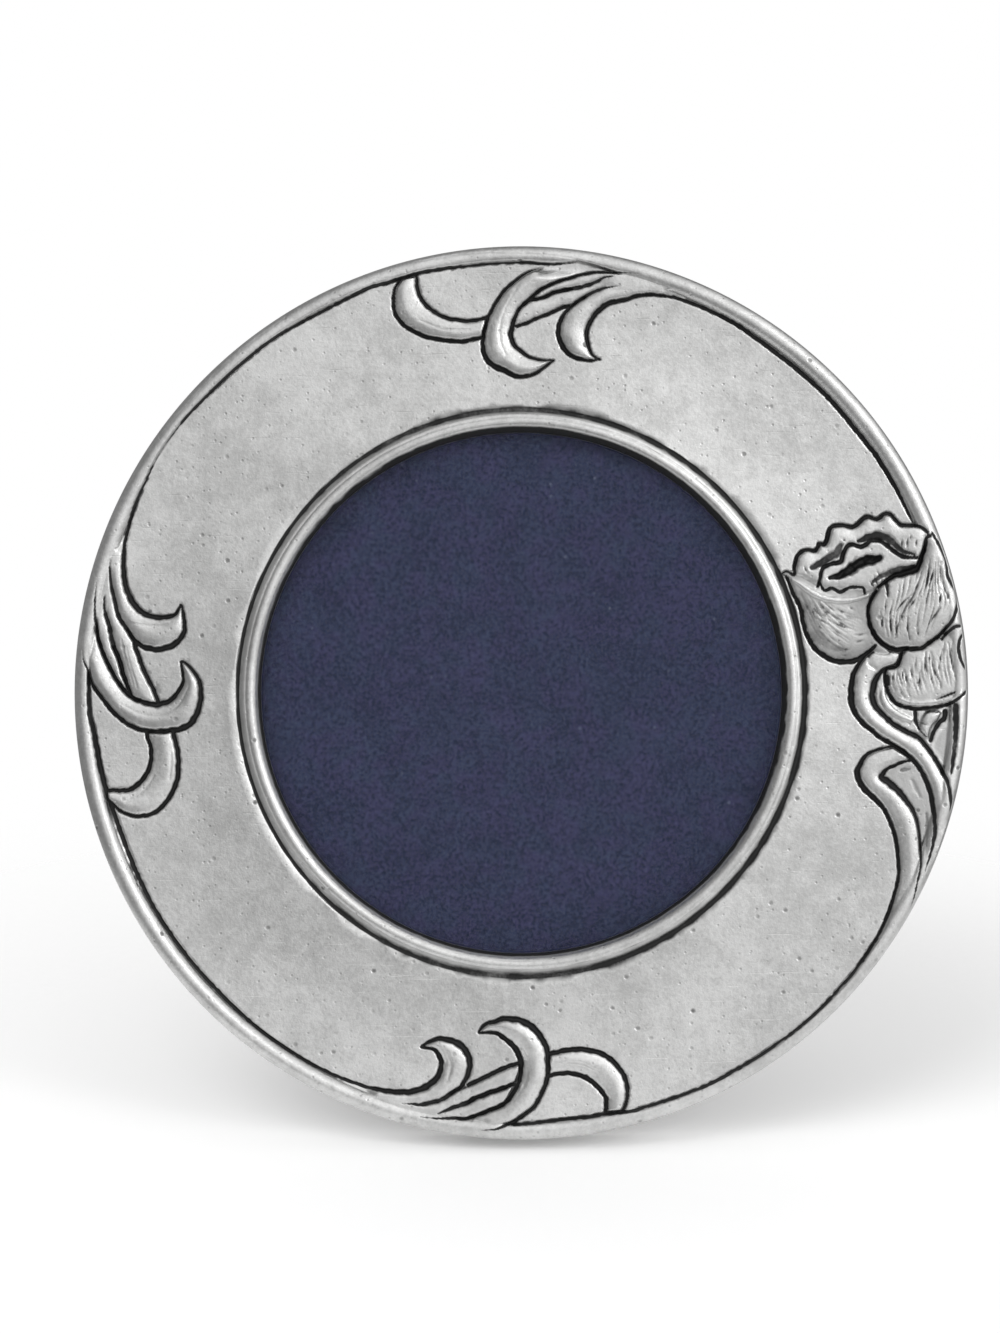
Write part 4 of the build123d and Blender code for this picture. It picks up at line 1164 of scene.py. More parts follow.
RIGHT_PETAL_FANS = (
    Fan(((43.4, 10.8), (43.5, 8.9), (44.2, 6.9)), ((49.4, 17.6), (48.8, 14.2), (47.2, 10.2), (46.9, 6.2)), count=8),
    Fan(((49.5, 17.4), (48.9, 13.8), (47.6, 10), (47.6, 6.2)),
        ((51.2, 15.8), (51.5, 13), (52.3, 10.8), (50.2, 7.2)), count=8),
)
# Rim line: rows of angle and share of the band, and its widths, for each stretch between two plants.
RIM_LINES = (
    (((23.6, 0.985), (28, 0.985), (32, 0.985), (36, 0.98), (46, 0.978), (58, 0.98), (64, 0.98), (69, 0.968)),
     (0.3, 0.62, 0.68, 0.68, 0.6, 0.5)),
    (((82.5, 1.04), (84, 1.02), (86, 1.005), (88, 1.005), (90, 1.01), (94, 1.01), (98, 1.01), (101, 1.015),
      (104, 1.02), (108, 1.015), (112, 1.02), (124, 1.02), (132, 1.02), (138, 1.025), (142, 1.033), (147, 1.03),
      (150, 1.015), (153, 1.005), (156, 0.99), (159.3, 0.965)),
     (0.15, 0.35, 0.38, 0.42, 0.5, 0.45, 0.4, 0.15, 0.4, 0.5)),
    (((177.3, 1.025), (182.3, 1.02), (185.3, 1.0), (188.3, 0.99), (191.3, 0.985), (194.3, 0.975), (200, 0.965),
      (206, 0.97), (212, 0.975), (220, 0.975), (230, 0.98), (238, 0.98), (244, 0.975), (248.7, 0.96)),
     (0.5, 0.7, 0.8, 0.72, 0.66, 0.6, 0.5, 0.5)),
    (((268.9, 1.015), (270.8, 1.01), (273.5, 1.0), (276.3, 0.995), (279, 1.0), (281, 1.0), (283, 1.01), (286, 1.022),
      (294, 1.03), (300, 1.03), (306, 1.035), (312, 1.038), (318, 1.035), (322, 1.03)),
     (0.45, 0.5, 0.45, 0.45, 0.4, 0.4)),
    (((321, 1.03), (324, 1.026), (326, 1.02), (328, 1.01), (330, 0.99), (332, 0.965), (334, 0.935)),
     (0.4, 0.5, 0.6, 0.5)),
)
RIM_THREADS = (
    ((82, 1.05), (86, 1.065), (92, 1.075), (98, 1.09), (104, 1.1)),
    ((184, 1.11), (190, 1.105), (197, 1.105), (206, 1.11)), ((222, 1.12), (232, 1.11), (240, 1.1)),
    ((122, 1.1), (132, 1.09), (146, 1.1), (154, 1.11)),
)


# The casting's mesh


class Skin:
    """Closed ring of faces over a fine grid of points, with large faces where the grid is flat."""

    LEVELS = (1, 2, 3)
    PATINA_AND_SHADE_WEIGHT = 0.04
    MAP_MARGIN = 0.01

    def __init__(self, points: np.ndarray, patina: np.ndarray, tolerance: float) -> None:
        """Divides the grid.

        Args:
            points: rows, columns and coordinates in metres; both directions close on themselves.
            patina: darkness of patina and painted shade at each point.
            tolerance: largest distance in metres between a face and the grid.
        """
        self.points = points
        self.patina = patina
        self.rows, self.columns = patina.shape
        self.split = {level: self._needs_split(level, tolerance) for level in self.LEVELS}
        for level in self.LEVELS[:-1]:
            near = self.split[level].copy()
            for axis in (0, 1):
                for shift in (-1, 1):
                    near |= np.roll(self.split[level], shift, axis)
            rows, columns = near.shape
            self.split[level + 1] |= near.reshape(rows // 2, 2, columns // 2, 2).any(axis=(1, 3))

    def _needs_split(self, level: int, tolerance: float) -> np.ndarray:
        """Cells of a level in which the grid leaves the flat or blended cell by too much."""
        size = 2**level
        rows = np.arange(0, self.rows, size)
        columns = np.arange(0, self.columns, size)

        def pick(values: np.ndarray, down: int, across: int) -> np.ndarray:
            return values[np.ix_((rows + down) % self.rows, (columns + across) % self.columns)]

        blended = [self.points, self.patina[..., None] * self.PATINA_AND_SHADE_WEIGHT * MM]
        worst = np.zeros((len(rows), len(columns)))
        for values in blended:
            corners = [pick(values, *corner) for corner in ((0, 0), (0, size), (size, 0), (size, size))]
            for down in range(size + 1):
                for across in range(size + 1):
                    a, b = down / size, across / size
                    guess = (1 - a) * ((1 - b) * corners[0] + b * corners[1])
                    guess = guess + a * ((1 - b) * corners[2] + b * corners[3])
                    worst = np.maximum(worst, np.linalg.norm(pick(values, down, across) - guess, axis=-1))
        return worst > tolerance

    def faces(self) -> tuple[np.ndarray, np.ndarray, np.ndarray]:
        """Faces of the divided grid.

        Returns:
            Row and column of each corner, and the place at which each face starts.
        """
        found = []
        open_cells = np.ones_like(self.split[self.LEVELS[-1]])
        for level in reversed((0, *self.LEVELS)):
            split = self.split.get(level, np.zeros(open_cells.shape, bool))
            row, column = np.nonzero(open_cells & ~split)
            size = 2**level
            top, left, half = row * size, column * size, size // 2
            sides = []
            for down, across, mid_down, mid_across, step_row, step_column in (
                (0, 0, 0, half, -1, 0),
                (0, size, half, size, 0, 1),
                (size, size, size, half, 1, 0),
                (size, 0, half, 0, 0, -1),
            ):
                sides.append((top + down, left + across, np.ones(len(row), bool)))
                if level:
                    next_row = (row + step_row) % split.shape[0]
                    next_column = (column + step_column) % split.shape[1]
                    sides.append((top + mid_down, left + mid_across, split[next_row, next_column]))
            used = np.stack([side[2] for side in sides], axis=1)
            found.append(
                (
                    np.stack([side[0] for side in sides], axis=1)[used],
                    np.stack([side[1] for side in sides], axis=1)[used],
                    used.sum(axis=1),
                )
            )
            open_cells = np.repeat(np.repeat(open_cells & split, 2, axis=0), 2, axis=1)
        rows, columns, counts = (np.concatenate(parts) for parts in zip(*found))
        return rows, columns, np.concatenate([[0], np.cumsum(counts)[:-1]])

    def mesh(self, name: str, sharp_rows: Iterable[int], row_lengths: np.ndarray) -> bpy.types.Mesh:
        """Makes the mesh.

        Args:
            name: the mesh's name.
            sharp_rows: rows of the grid that are sharp edges.
            row_lengths: way along the section at each row and at its end, for the map of the surface.

        Returns:
            The mesh, with an attribute of patina and painted shade, and a map of its surface.
        """
        row, column, starts = self.faces()
        keys = (row % self.rows) * self.columns + column % self.columns
        used, corners = np.unique(keys, return_inverse=True)
        mesh = bpy.data.meshes.new(name)
        mesh.vertices.add(len(used))
        mesh.vertices.foreach_set("co", self.points.reshape(-1, 3)[used].astype(np.float32).ravel())
        mesh.loops.add(len(corners))
        mesh.loops.foreach_set("vertex_index", corners.astype(np.int32))
        mesh.polygons.add(len(starts))
        mesh.polygons.foreach_set("loop_start", starts.astype(np.int32))
        mesh.update(calc_edges=True)
        mesh.shade_smooth()
        soot_and_shade = mesh.attributes.new("patina", "FLOAT", "POINT")
        soot_and_shade.data.foreach_set("value", self.patina.reshape(-1)[used].astype(np.float32))
        ends = np.zeros(len(mesh.edges) * 2, np.int32)
        mesh.edges.foreach_get("vertices", ends)
        rows_of_ends = (used // self.columns)[ends].reshape(-1, 2)
        sharp = (rows_of_ends[:, 0] == rows_of_ends[:, 1]) & np.isin(rows_of_ends[:, 0], list(sharp_rows))
        mesh.attributes.new("sharp_edge", "BOOLEAN", "EDGE").data.foreach_set("value", sharp)
        self._map_surface(mesh, row, column, starts, row_lengths)
        mesh.validate()
        return mesh

    def _map_surface(
        self, mesh: bpy.types.Mesh, row: np.ndarray, column: np.ndarray, starts: np.ndarray, lengths: np.ndarray
    ) -> None:
        """Lays the two halves of the ring as strips, one above the other, in a UV map."""
        half = self.columns // 2
        counts = np.diff(np.append(starts, len(row)))
        strip = np.repeat(column[starts] >= half, counts)
        across = self.MAP_MARGIN + 0.98 * (column - strip * half) / half
        along = self.MAP_MARGIN + 0.48 * lengths[row] / lengths[-1] + 0.5 * strip
        layer = mesh.uv_layers.new(name="OFBake")
        layer.data.foreach_set("uv", np.stack([across, along], axis=1).astype(np.float32).ravel())


def new_piece(
    name: str, mesh: bpy.types.Mesh, material: bpy.types.Material, body: Body
) -> bpy.types.Object:
    """Links a finished mesh as a piece of the frame.

    Args:
        name: the piece's name.
        mesh: its mesh, in place.
        material: its finish.
        body: what it rides on.

    Returns:
        The piece's object, at the origin.
    """
    piece = bpy.data.objects.new(name, mesh)
    bpy.context.scene.collection.objects.link(piece)
    mesh.materials.clear()
    mesh.materials.append(material)
    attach(piece, body.value)
    LOG.info("%s: %d faces on %s", name, len(mesh.polygons), body.value)
    return piece


def volume_of(mesh: bpy.types.Mesh) -> float:
    """Volume that a closed mesh encloses, negative if its faces point inwards."""
    mesh.calc_loop_triangles()
    corners = np.zeros(len(mesh.loop_triangles) * 3, np.int32)
    mesh.loop_triangles.foreach_get("vertices", corners)
    places = np.zeros(len(mesh.vertices) * 3, np.float32)
    mesh.vertices.foreach_get("co", places)
    a, b, c = np.moveaxis(places.reshape(-1, 3)[corners.reshape(-1, 3)].astype(float), 1, 0)
    return float(np.einsum("ij,ij->i", a, np.cross(b, c)).sum() / 6)


@dataclass
class Casting:
    """The pewter ring: rim, ground, bead and lip with all raised ornament, and its back."""

    face: FaceFrame
    finish: Pewter = field(default_factory=Pewter)
    band: Band = field(default_factory=Band)
    window: float = 31.75
    pocket: float = 34.15
    glass_front: float = 5.0
    board_front: float = 2.6
    recess: float = 50.0
    back_edge: float = 0.4
    bead_rows: int = 4
    groove_radius: float = 34.56
    thread_radius: float = 33.6
    rim_start: float = 51.6
    ground_rows: int = 136
    rim_rows: int = 16
    straight_rows: int = 8
    spill_rows: int = 6
    columns: int = 2048
    quick_columns: int = 1280
    edge_fade: Point = (0.02, 0.35)
    tolerance: float = 0.02
    bead: tuple[Point, ...] = (
        (31.75, 5.9), (31.95, 6.2), (32.3, 6.85), (32.7, 7.2), (32.95, 7.27), (33.2, 7.28), (33.52, 7.17),
        (33.6, 7.08), (33.68, 7.12), (34.0, 6.9), (34.3, 6.55), (34.45, 6.36), (34.6, 6.33), (34.75, 6.38),
        (34.9, 6.5),
    )
    # Round the ring: the groove's width and strength, and the darkness of the bead's outer slope; what changes with
    # the angle is painted shade, following how the light falls on the bead.
    groove_angles: tuple[float, ...] = (0, 45, 90, 135, 180, 225, 270, 315, 360)
    groove_and_shade_rows: tuple[tuple[float, ...], ...] = (
        (1.0, 0.75, 1.15, 0.7, 0.6, 0.7, 1.1, 1.0, 1.0),
        (1.0, 1.0, 0.66, 0.9, 1.0, 0.95, 0.72, 0.9, 1.0),
        (0.08, 0.14, 0.12, 0.3, 0.38, 0.42, 0.5, 0.25, 0.08),
    )

    def _section(self) -> tuple[np.ndarray, np.ndarray, slice, list[int]]:
        """Closed half section of the ring.

        Returns:
            Radius and height of each row; the rows of the face; the rows that are sharp edges.
        """
        band = self.band
        runs: list[tuple[np.ndarray, np.ndarray]] = []

        def straight(start: Point, end: Point) -> None:
            share = np.linspace(0, 1, self.straight_rows, endpoint=False)
            runs.append((start[0] + (end[0] - start[0]) * share, start[1] + (end[1] - start[1]) * share))

        bead = np.array(self.bead).T
        steps = np.arange(0, len(bead[0]) - 1, 1 / self.bead_rows)
        runs.append(tuple(np.interp(steps, np.arange(len(part)), part) for part in bead))
        first = sum(len(run[0]) for run in runs)
        fall = np.linspace(0, math.pi / 2, self.rim_rows, endpoint=False)
        radii = np.concatenate(
            [
                np.linspace(band.inner, self.rim_start, self.ground_rows, endpoint=False),
                np.linspace(self.rim_start, band.crest, self.rim_rows, endpoint=False),
                band.crest + (band.edge - band.crest) * np.sin(fall),
            ]
        )
        runs.append((radii, band.crown(radii)))
        last = first + len(radii)
        corners = (
            (band.edge, band.crown_height - band.crown_fall),
            (band.edge, self.back_edge),
            (band.edge - self.back_edge, 0.0),
            (self.recess, 0.0),
            (self.recess, self.board_front),
            (self.pocket, self.board_front),
            (self.pocket, self.glass_front),
            (self.window, self.glass_front),
            self.bead[0],
        )
        sharp = []
        for start, end in zip(corners, corners[1:]):
            if start is not corners[0]:
                sharp.append(sum(len(run[0]) for run in runs))
            straight(start, end)
        radius, height = (np.concatenate([run[part] for run in runs]) for part in range(2))
        return radius, height, slice(first, last), sharp

    def _bead_soot_and_shade(self, radius: np.ndarray, turn: np.ndarray) -> np.ndarray:
        """Patina on the bead's two edges, in its groove and along a fine thread, with painted shade on its outer
        slope; the edges, groove and slope differ round the ring as painted shade.
        """
        radius, angle = radius[:, None], np.degrees(turn)[None, :]
        # The dark inner edge is patina all round and painted shade where it widens, most at the upper right, where
        # the window's wall turns from the light.
        inner = 0.52 + 0.15 * np.cos(turn - math.radians(60))[None, :]
        ragged = 0.04 * np.sin(angle * 0.9 + 2 * np.sin(angle * 0.23)) + 0.01 * np.sin(angle * 2.3)
        edge = 1.0 - smooth_step((radius - self.window - inner * (1 + ragged) + 0.12) / 0.24)
        wide, strong, slope_shade = (np.interp(angle, self.groove_angles, rows) for rows in self.groove_and_shade_rows)
        groove = strong * smooth_step((wide * (0.55 + ragged) - np.abs(radius - self.groove_radius)) / (0.35 * wide))
        # Painted shade on the bead's outer slope, darkest along the bottom and lower left.
        outer = slope_shade * smooth_step((radius - 33.55) / 0.2) * (1.0 - smooth_step((radius - 34.5) / 0.2))
        off_thread = np.abs(radius - self.thread_radius - 0.04 * np.sin(angle * 0.31))
        thread = 0.5 * (1 - np.clip(off_thread / 0.1, 0, 1))
        thread = thread * smooth_step(0.4 + 0.5 * np.sin(angle * 0.43 + 1.2 * np.sin(angle * 0.11)))
        return np.maximum.reduce([edge, groove, outer, thread])

    def _relief(self, radii: np.ndarray) -> Relief:
        """Lays all ornament on the face."""
        relief = Relief(self.band, radii, self.columns)
        for rows, widths in RIM_LINES:
            relief.add_line(Line(tuple(self.band.spot(*row) for row in rows), widths))
        for rows in RIM_THREADS:
            places = tuple(self.band.spot(*row) for row in rows)
            relief.add_line(chased(places, (0.1, 0.3, 0.4, 0.3, 0.1), 0.04, 0.3))
        for plant in (TOP_PLANT, LEFT_PLANT, BOTTOM_PLANT):
            relief.add_plant(plant)
        relief.add_leaf(LEAF_STEM)
        relief.add_leaf(FLOWER_STEM)
        for pocket in STEM_POCKETS:
            relief.add_hollow(pocket, depth=0.1, soot_and_shade=0.3)
        relief.add_leaf(SPATHE)
        relief.add_petal(SPATHE_TIP)
        relief.add_petal(NODE)
        for line in (*STEM_LINES, *STEM_STREAKS, *SPATHE_LINES):
            relief.add_line(line)
        self._flower(relief)
        return relief

    def _flower(self, relief: Relief) -> None:
        """Lays the daffodil on the face, with its folds, veins and frilled mouth."""
        relief.add_petal(CALYX)
        for line in CALYX_LINES:
            relief.add_line(line)
        relief.add_fan(CALYX_FAN)
        for rib in CALYX_RIBS:
            relief.add_line(chased(rib, (0.18, 0.32, 0.18), 0.08, 0.7))
        relief.add_petal(LEFT_PETAL)
        # Painted shade on the left petal.
        relief.add_line(LEFT_PETAL_SHADE)
        relief.add_fan(LEFT_PETAL_FAN)
        for crease in LEFT_PETAL_CREASES:
            relief.add_line(chased(crease, (0.15, 0.36, 0.15), 0.06, 0.6))
        relief.add_line(LEFT_PETAL_EDGE)
        relief.add_petal(MOUTH)
        for line in (*MOUTH_SHADES, *MOUTH_LINES):
            relief.add_line(line)
        relief.add_line(chased(LEFT_PETAL_LIP, (0.3, 0.9, 0.9, 0.9, 0.3), -0.22, 0.0))
        relief.add_petal(RIGHT_PETAL)
        for fan in RIGHT_PETAL_FANS:
            relief.add_fan(fan)
        for line in RIGHT_PETAL_LINES:
            relief.add_line(line)
        for line in (*FRILL_PLEATS, *RIGHT_PETAL_VEINS):
            relief.add_line(chased(line, (0.2, 0.36, 0.2), 0.08, 0.75))

    def build(self) -> None:
        """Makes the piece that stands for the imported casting."""
        radius, height, face_rows, sharp = self._section()
        relief = self._relief(radius[face_rows])
        grid_height = np.repeat(height[:, None], self.columns, axis=1)
        patina = np.zeros_like(grid_height)
        fade_end, fade_run = self.edge_fade
        rim_fade = smooth_step((self.band.edge - fade_end - radius[face_rows]) / fade_run)[:, None]
        crown = self.band.crown(radius[face_rows])[:, None]
        grid_height[face_rows] = crown + (relief.height - crown) * rim_fade
        patina[face_rows] = relief.patina
        turn = np.arange(self.columns) * (2 * math.pi / self.columns)
        near = slice(0, face_rows.start + self.spill_rows)
        patina[near] = np.maximum(patina[near], self._bead_soot_and_shade(radius[near], turn))
        points = self.face.world(radius[:, None] * np.cos(turn), radius[:, None] * np.sin(turn), grid_height)
        skin = Skin(points, patina, self.tolerance * MM)
        closed_radius, closed_height = np.append(radius, radius[0]), np.append(height, height[0])
        lengths = np.concatenate([[0.0], np.cumsum(np.hypot(np.diff(closed_radius), np.diff(closed_height)))])
        mesh = skin.mesh("casting", sharp, lengths)
        if volume_of(mesh) < 0:
            mesh.flip_normals()
        piece = new_piece("casting", mesh, self.finish.material(), Body.FRAME)
        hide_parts("front_frame")
        mesh.calc_loop_triangles()
        LOG.info("casting triangles: %d", len(mesh.loop_triangles))


def softened_copy(node: bpy.types.Object, name: str, bevel: float, segments: int = 2) -> bpy.types.Mesh:
    """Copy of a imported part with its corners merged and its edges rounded.

    Args:
        node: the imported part.
        name: the new mesh's name.
        bevel: width of the rounded edges in millimetres.
        segments: faces across a rounded edge.

    Returns:
        The new mesh.
    """
    work = bmesh.new()
    work.from_mesh(node.data)
    bmesh.ops.remove_doubles(work, verts=work.verts, dist=SAME_PLACE * MM)
    bmesh.ops.dissolve_limit(work, angle_limit=math.radians(1.0), verts=work.verts, edges=work.edges)
    edges = [
        edge for edge in work.edges if len(edge.link_faces) == 2 and edge.calc_face_angle(0.0) > ROUNDED_FROM
    ]
    bmesh.ops.bevel(
        work, geom=edges, offset=bevel * MM, segments=segments, profile=0.5, affect="EDGES", clamp_overlap=True
    )
    bmesh.ops.recalc_face_normals(work, faces=work.faces)
    mesh = bpy.data.meshes.new(name)
    work.to_mesh(mesh)
    work.free()
    mesh.set_sharp_from_angle(angle=SHARP_FROM)
    return mesh


@dataclass(frozen=True)
class HeadShape:
    """Turned head and shank of a fastener: rows of radius and height in millimetres, from its end to its crown."""

    name: str
    rows: tuple[Point, ...]
    segments: int = 40
    slot_width: float = 0.0
    slot_depth: float = 0.0

    def mesh(self) -> bpy.types.Mesh:
        """Turns the shape about its own axis and cuts its slot.

        Returns:
            The mesh in metres, with its crown along +Z.
        """
        rows = [row for row in self.rows if row[0] > 0]
        low, high = self.rows[0][1], self.rows[-1][1]
        turn = np.arange(self.segments) * (2 * math.pi / self.segments)
        rings = [
            np.stack([radius * np.cos(turn), radius * np.sin(turn), np.full(self.segments, height)], axis=1)
            for radius, height in rows
        ]
        places = np.vstack([*rings, [[0, 0, low]], [[0, 0, high]]]) * MM
        count, bottom, top = self.segments, len(rows) * self.segments, len(rows) * self.segments + 1
        faces: list[tuple[int, ...]] = []
        for ring in range(len(rows) - 1):
            for step in range(count):
                after = (step + 1) % count
                base = ring * count
                faces.append((base + step, base + after, base + count + after, base + count + step))
        last = (len(rows) - 1) * count
        for step in range(count):
            after = (step + 1) % count
            faces.append((bottom, after, step))
            faces.append((top, last + step, last + after))
        mesh = bpy.data.meshes.new(self.name)
        mesh.from_pydata(places.tolist(), [], faces)
        if self.slot_width:
            mesh = self._slotted(mesh, high)
        mesh.shade_smooth()
        mesh.set_sharp_from_angle(angle=math.radians(38))
        return mesh

    def _slotted(self, mesh: bpy.types.Mesh, crown: float) -> bpy.types.Mesh:
        """Cuts a screwdriver slot across the crown."""
        long, wide, deep = 3.0 * self.rows[-3][0] * MM, self.slot_width * MM / 2, self.slot_depth * MM
        high = crown * MM
        around = ((-long, -wide), (long, -wide), (long, wide), (-long, wide))
        corners = [(x, y, z) for z in (high - deep, high + deep) for x, y in around]
        sides = [(3, 2, 1, 0), (4, 5, 6, 7), (0, 1, 5, 4), (1, 2, 6, 5), (2, 3, 7, 6), (3, 0, 4, 7)]
        cutter_mesh = bpy.data.meshes.new("slot_cutter")
        cutter_mesh.from_pydata(corners, [], sides)
        cutter = bpy.data.objects.new("slot_cutter", cutter_mesh)
        blank = bpy.data.objects.new("slot_blank", mesh)
        for made in (cutter, blank):
            bpy.context.scene.collection.objects.link(made)
        cut = blank.modifiers.new("slot", "BOOLEAN")
        cut.object, cut.operation, cut.solver = cutter, "DIFFERENCE", "EXACT"
        slotted = bpy.data.meshes.new_from_object(blank.evaluated_get(bpy.context.evaluated_depsgraph_get()))
        for made in (cutter, blank):
            bpy.data.objects.remove(made)
        return slotted


@dataclass
class Infill:
    """What the pocket holds: the glass, the navy card and the boards behind it."""

    nodes: dict[str, bpy.types.Object]
    face: FaceFrame
    radius: float = 33.83
    seat: float = 4.0
    thickness: float = 1.0
    gap: float = 0.03
    arris: float = 0.1
    card: NavyCard = field(default_factory=NavyCard)
    glass: Glazing = field(default_factory=Glazing)
    filler: PressedBoard = PressedBoard("pulp_board", (0.42, 0.38, 0.32), (0.27, 0.24, 0.19), 1.1)
    board: PressedBoard = PressedBoard("hardboard")

    def _pane(self) -> None:
        """Makes the glass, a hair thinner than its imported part, so that it lies clear of the card."""
        low, high = self.gap, self.thickness - self.gap
        edge = self.radius - self.arris
        sides = ((self.radius, low + self.arris), (self.radius, high - self.arris))
        rows = ((0, low), (edge, low), *sides, (edge, high), (0, high))
        mesh = HeadShape("glass_pane", rows, segments=160).mesh()
        turn = Matrix.Rotation(math.radians(90) - self.face.lean, 4, "X")
        mesh.transform(Matrix.Translation(self.face.point(0.0, 0.0, self.seat)) @ turn)
        pane = new_piece("glass_pane", mesh, self.glass.material(), Body.FRAME)
        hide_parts("glazing_disc")

    def build(self) -> None:
        """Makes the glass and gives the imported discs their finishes."""
        self._pane()
        finishes = {
            "display_card": self.card,
            "filler_disc": self.filler,
            "backing_board": self.board,
        }
        for name, finish in finishes.items():
            mesh = self.nodes[name].data
            mesh.materials.clear()
            mesh.materials.append(finish.material())
            LOG.info("%s: packed part with a new finish", name)


@dataclass
class BackAndEasel:
    """Flocked back, hinge, leg and turn buttons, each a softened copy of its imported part."""

    nodes: dict[str, bpy.types.Object]
    flock: Flock = field(default_factory=Flock)
    steel: NickelSteel = field(default_factory=NickelSteel)
    board: PressedBoard = PressedBoard("leg_hardboard")

    def build(self) -> None:
        """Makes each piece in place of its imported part."""
        flock, steel, board = self.flock.material(), self.steel.material(), self.board.material()
        rows = (
            ("back_cover", "flocked_back", 0.18, flock, Body.FRAME, Slot.COVER),
            ("leg_cover", "flocked_leg", 0.12, flock, Body.LEG, Slot.COVER),
            ("easel_leg", "leg_board", 0.15, board, Body.LEG, Slot.BOARD),
            ("hinge_back_leaf", "back_leaf", 0.12, steel, Body.FRAME, Slot.STEEL),
            ("hinge_leg_leaf", "leg_leaf", 0.12, steel, Body.LEG, Slot.STEEL),
            ("hinge_pin", "pin", 0.12, steel, Body.FRAME, Slot.STEEL),
            ("turn_button_top", "button_top", 0.12, steel, Body.BUTTON_TOP, Slot.STEEL),
            ("turn_button_left", "button_left", 0.12, steel, Body.BUTTON_LEFT, Slot.STEEL),
            ("turn_button_right", "button_right", 0.12, steel, Body.BUTTON_RIGHT, Slot.STEEL),
        )
        for node, name, bevel, material, body, slot in rows:
            piece = new_piece(name, softened_copy(self.nodes[node], name, bevel), material, body)
            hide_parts(node)


# Fasteners


class FastenerNodes:
    """Geometry Nodes that set one fastener on each point of a mesh, all facing one way."""

    SEED = 7

    def __init__(self) -> None:
        """Builds the tree with its named inputs."""
        self.tree = bpy.data.node_groups.new("set_fasteners", "GeometryNodeTree")
        sockets = (
            ("Places", "NodeSocketGeometry"),
            ("Fastener", "NodeSocketObject"),
            ("Facing", "NodeSocketVector"),
            ("Largest Twist", "NodeSocketFloat"),
            ("Seed", "NodeSocketInt"),
            ("Finish", "NodeSocketMaterial"),
        )
        self.inputs = {
            name: self.tree.interface.new_socket(name, in_out="INPUT", socket_type=kind) for name, kind in sockets
        }
        self.tree.interface.new_socket("Fasteners", in_out="OUTPUT", socket_type="NodeSocketGeometry")
        start = self.tree.nodes.new("NodeGroupInput").outputs
        end = self.tree.nodes.new("NodeGroupOutput").inputs
        info = self._node("GeometryNodeObjectInfo", {"Object": start["Fastener"]})
        placed = self._node(
            "GeometryNodeInstanceOnPoints",
            {"Points": start["Places"], "Instance": info.outputs["Geometry"], "Rotation": start["Facing"]},
        )
        twist = self._node("FunctionNodeRandomValue", {"Seed": start["Seed"]})
        twist.data_type = "FLOAT"
        largest = next(socket for socket in twist.inputs if socket.identifier == "Max_001")
        self.tree.links.new(start["Largest Twist"], largest)
        amount = next(socket for socket in twist.outputs if socket.identifier == "Value_001")
        turn = self._node("ShaderNodeCombineXYZ", {"Z": amount})
        links = {"Instances": placed.outputs[0], "Rotation": turn.outputs[0]}
        turned = self._node("GeometryNodeRotateInstances", links)
        real = self._node("GeometryNodeRealizeInstances", {"Geometry": turned.outputs[0]})
        dressed = self._node("GeometryNodeSetMaterial", {"Geometry": real.outputs[0], "Material": start["Finish"]})
        self.tree.links.new(dressed.outputs[0], end[0])

    def _node(self, kind: str, links: dict[str, bpy.types.NodeSocket]) -> bpy.types.Node:
        """Adds a node and links its inputs."""
        made = self.tree.nodes.new(kind)
        for name, socket in links.items():
            self.tree.links.new(socket, made.inputs[name])
        return made

    def mesh(
        self,
        places: np.ndarray,
        facing: Matrix,
        head: bpy.types.Object,
        twist: float,
        finish: bpy.types.Material,
    ) -> bpy.types.Mesh:
        """Sets a fastener on each place.

        Args:
            places: points in metres.
            facing: turn that takes +Z to the way the crowns face.
            head: the fastener's object.
            twist: largest turn of one about its own axis.
            finish: the fasteners' material.

        Returns:
            One plain mesh of all of them.
        """
        points = bpy.data.meshes.new("places")
        points.from_pydata(places.tolist(), [], [])
        holder = bpy.data.objects.new("places", points)
        bpy.context.scene.collection.objects.link(holder)
        modifier = holder.modifiers.new("fasteners", "NODES")
        modifier.node_group = self.tree
        values = {
            "Fastener": head,
            "Facing": tuple(facing.to_euler()),
            "Largest Twist": twist,
            "Seed": self.SEED,
            "Finish": finish,
        }
        for name, value in values.items():
            modifier[self.inputs[name].identifier] = value
        made = bpy.data.meshes.new_from_object(holder.evaluated_get(bpy.context.evaluated_depsgraph_get()))
        holder.modifiers.remove(modifier)
        bpy.data.objects.remove(holder)
        return made


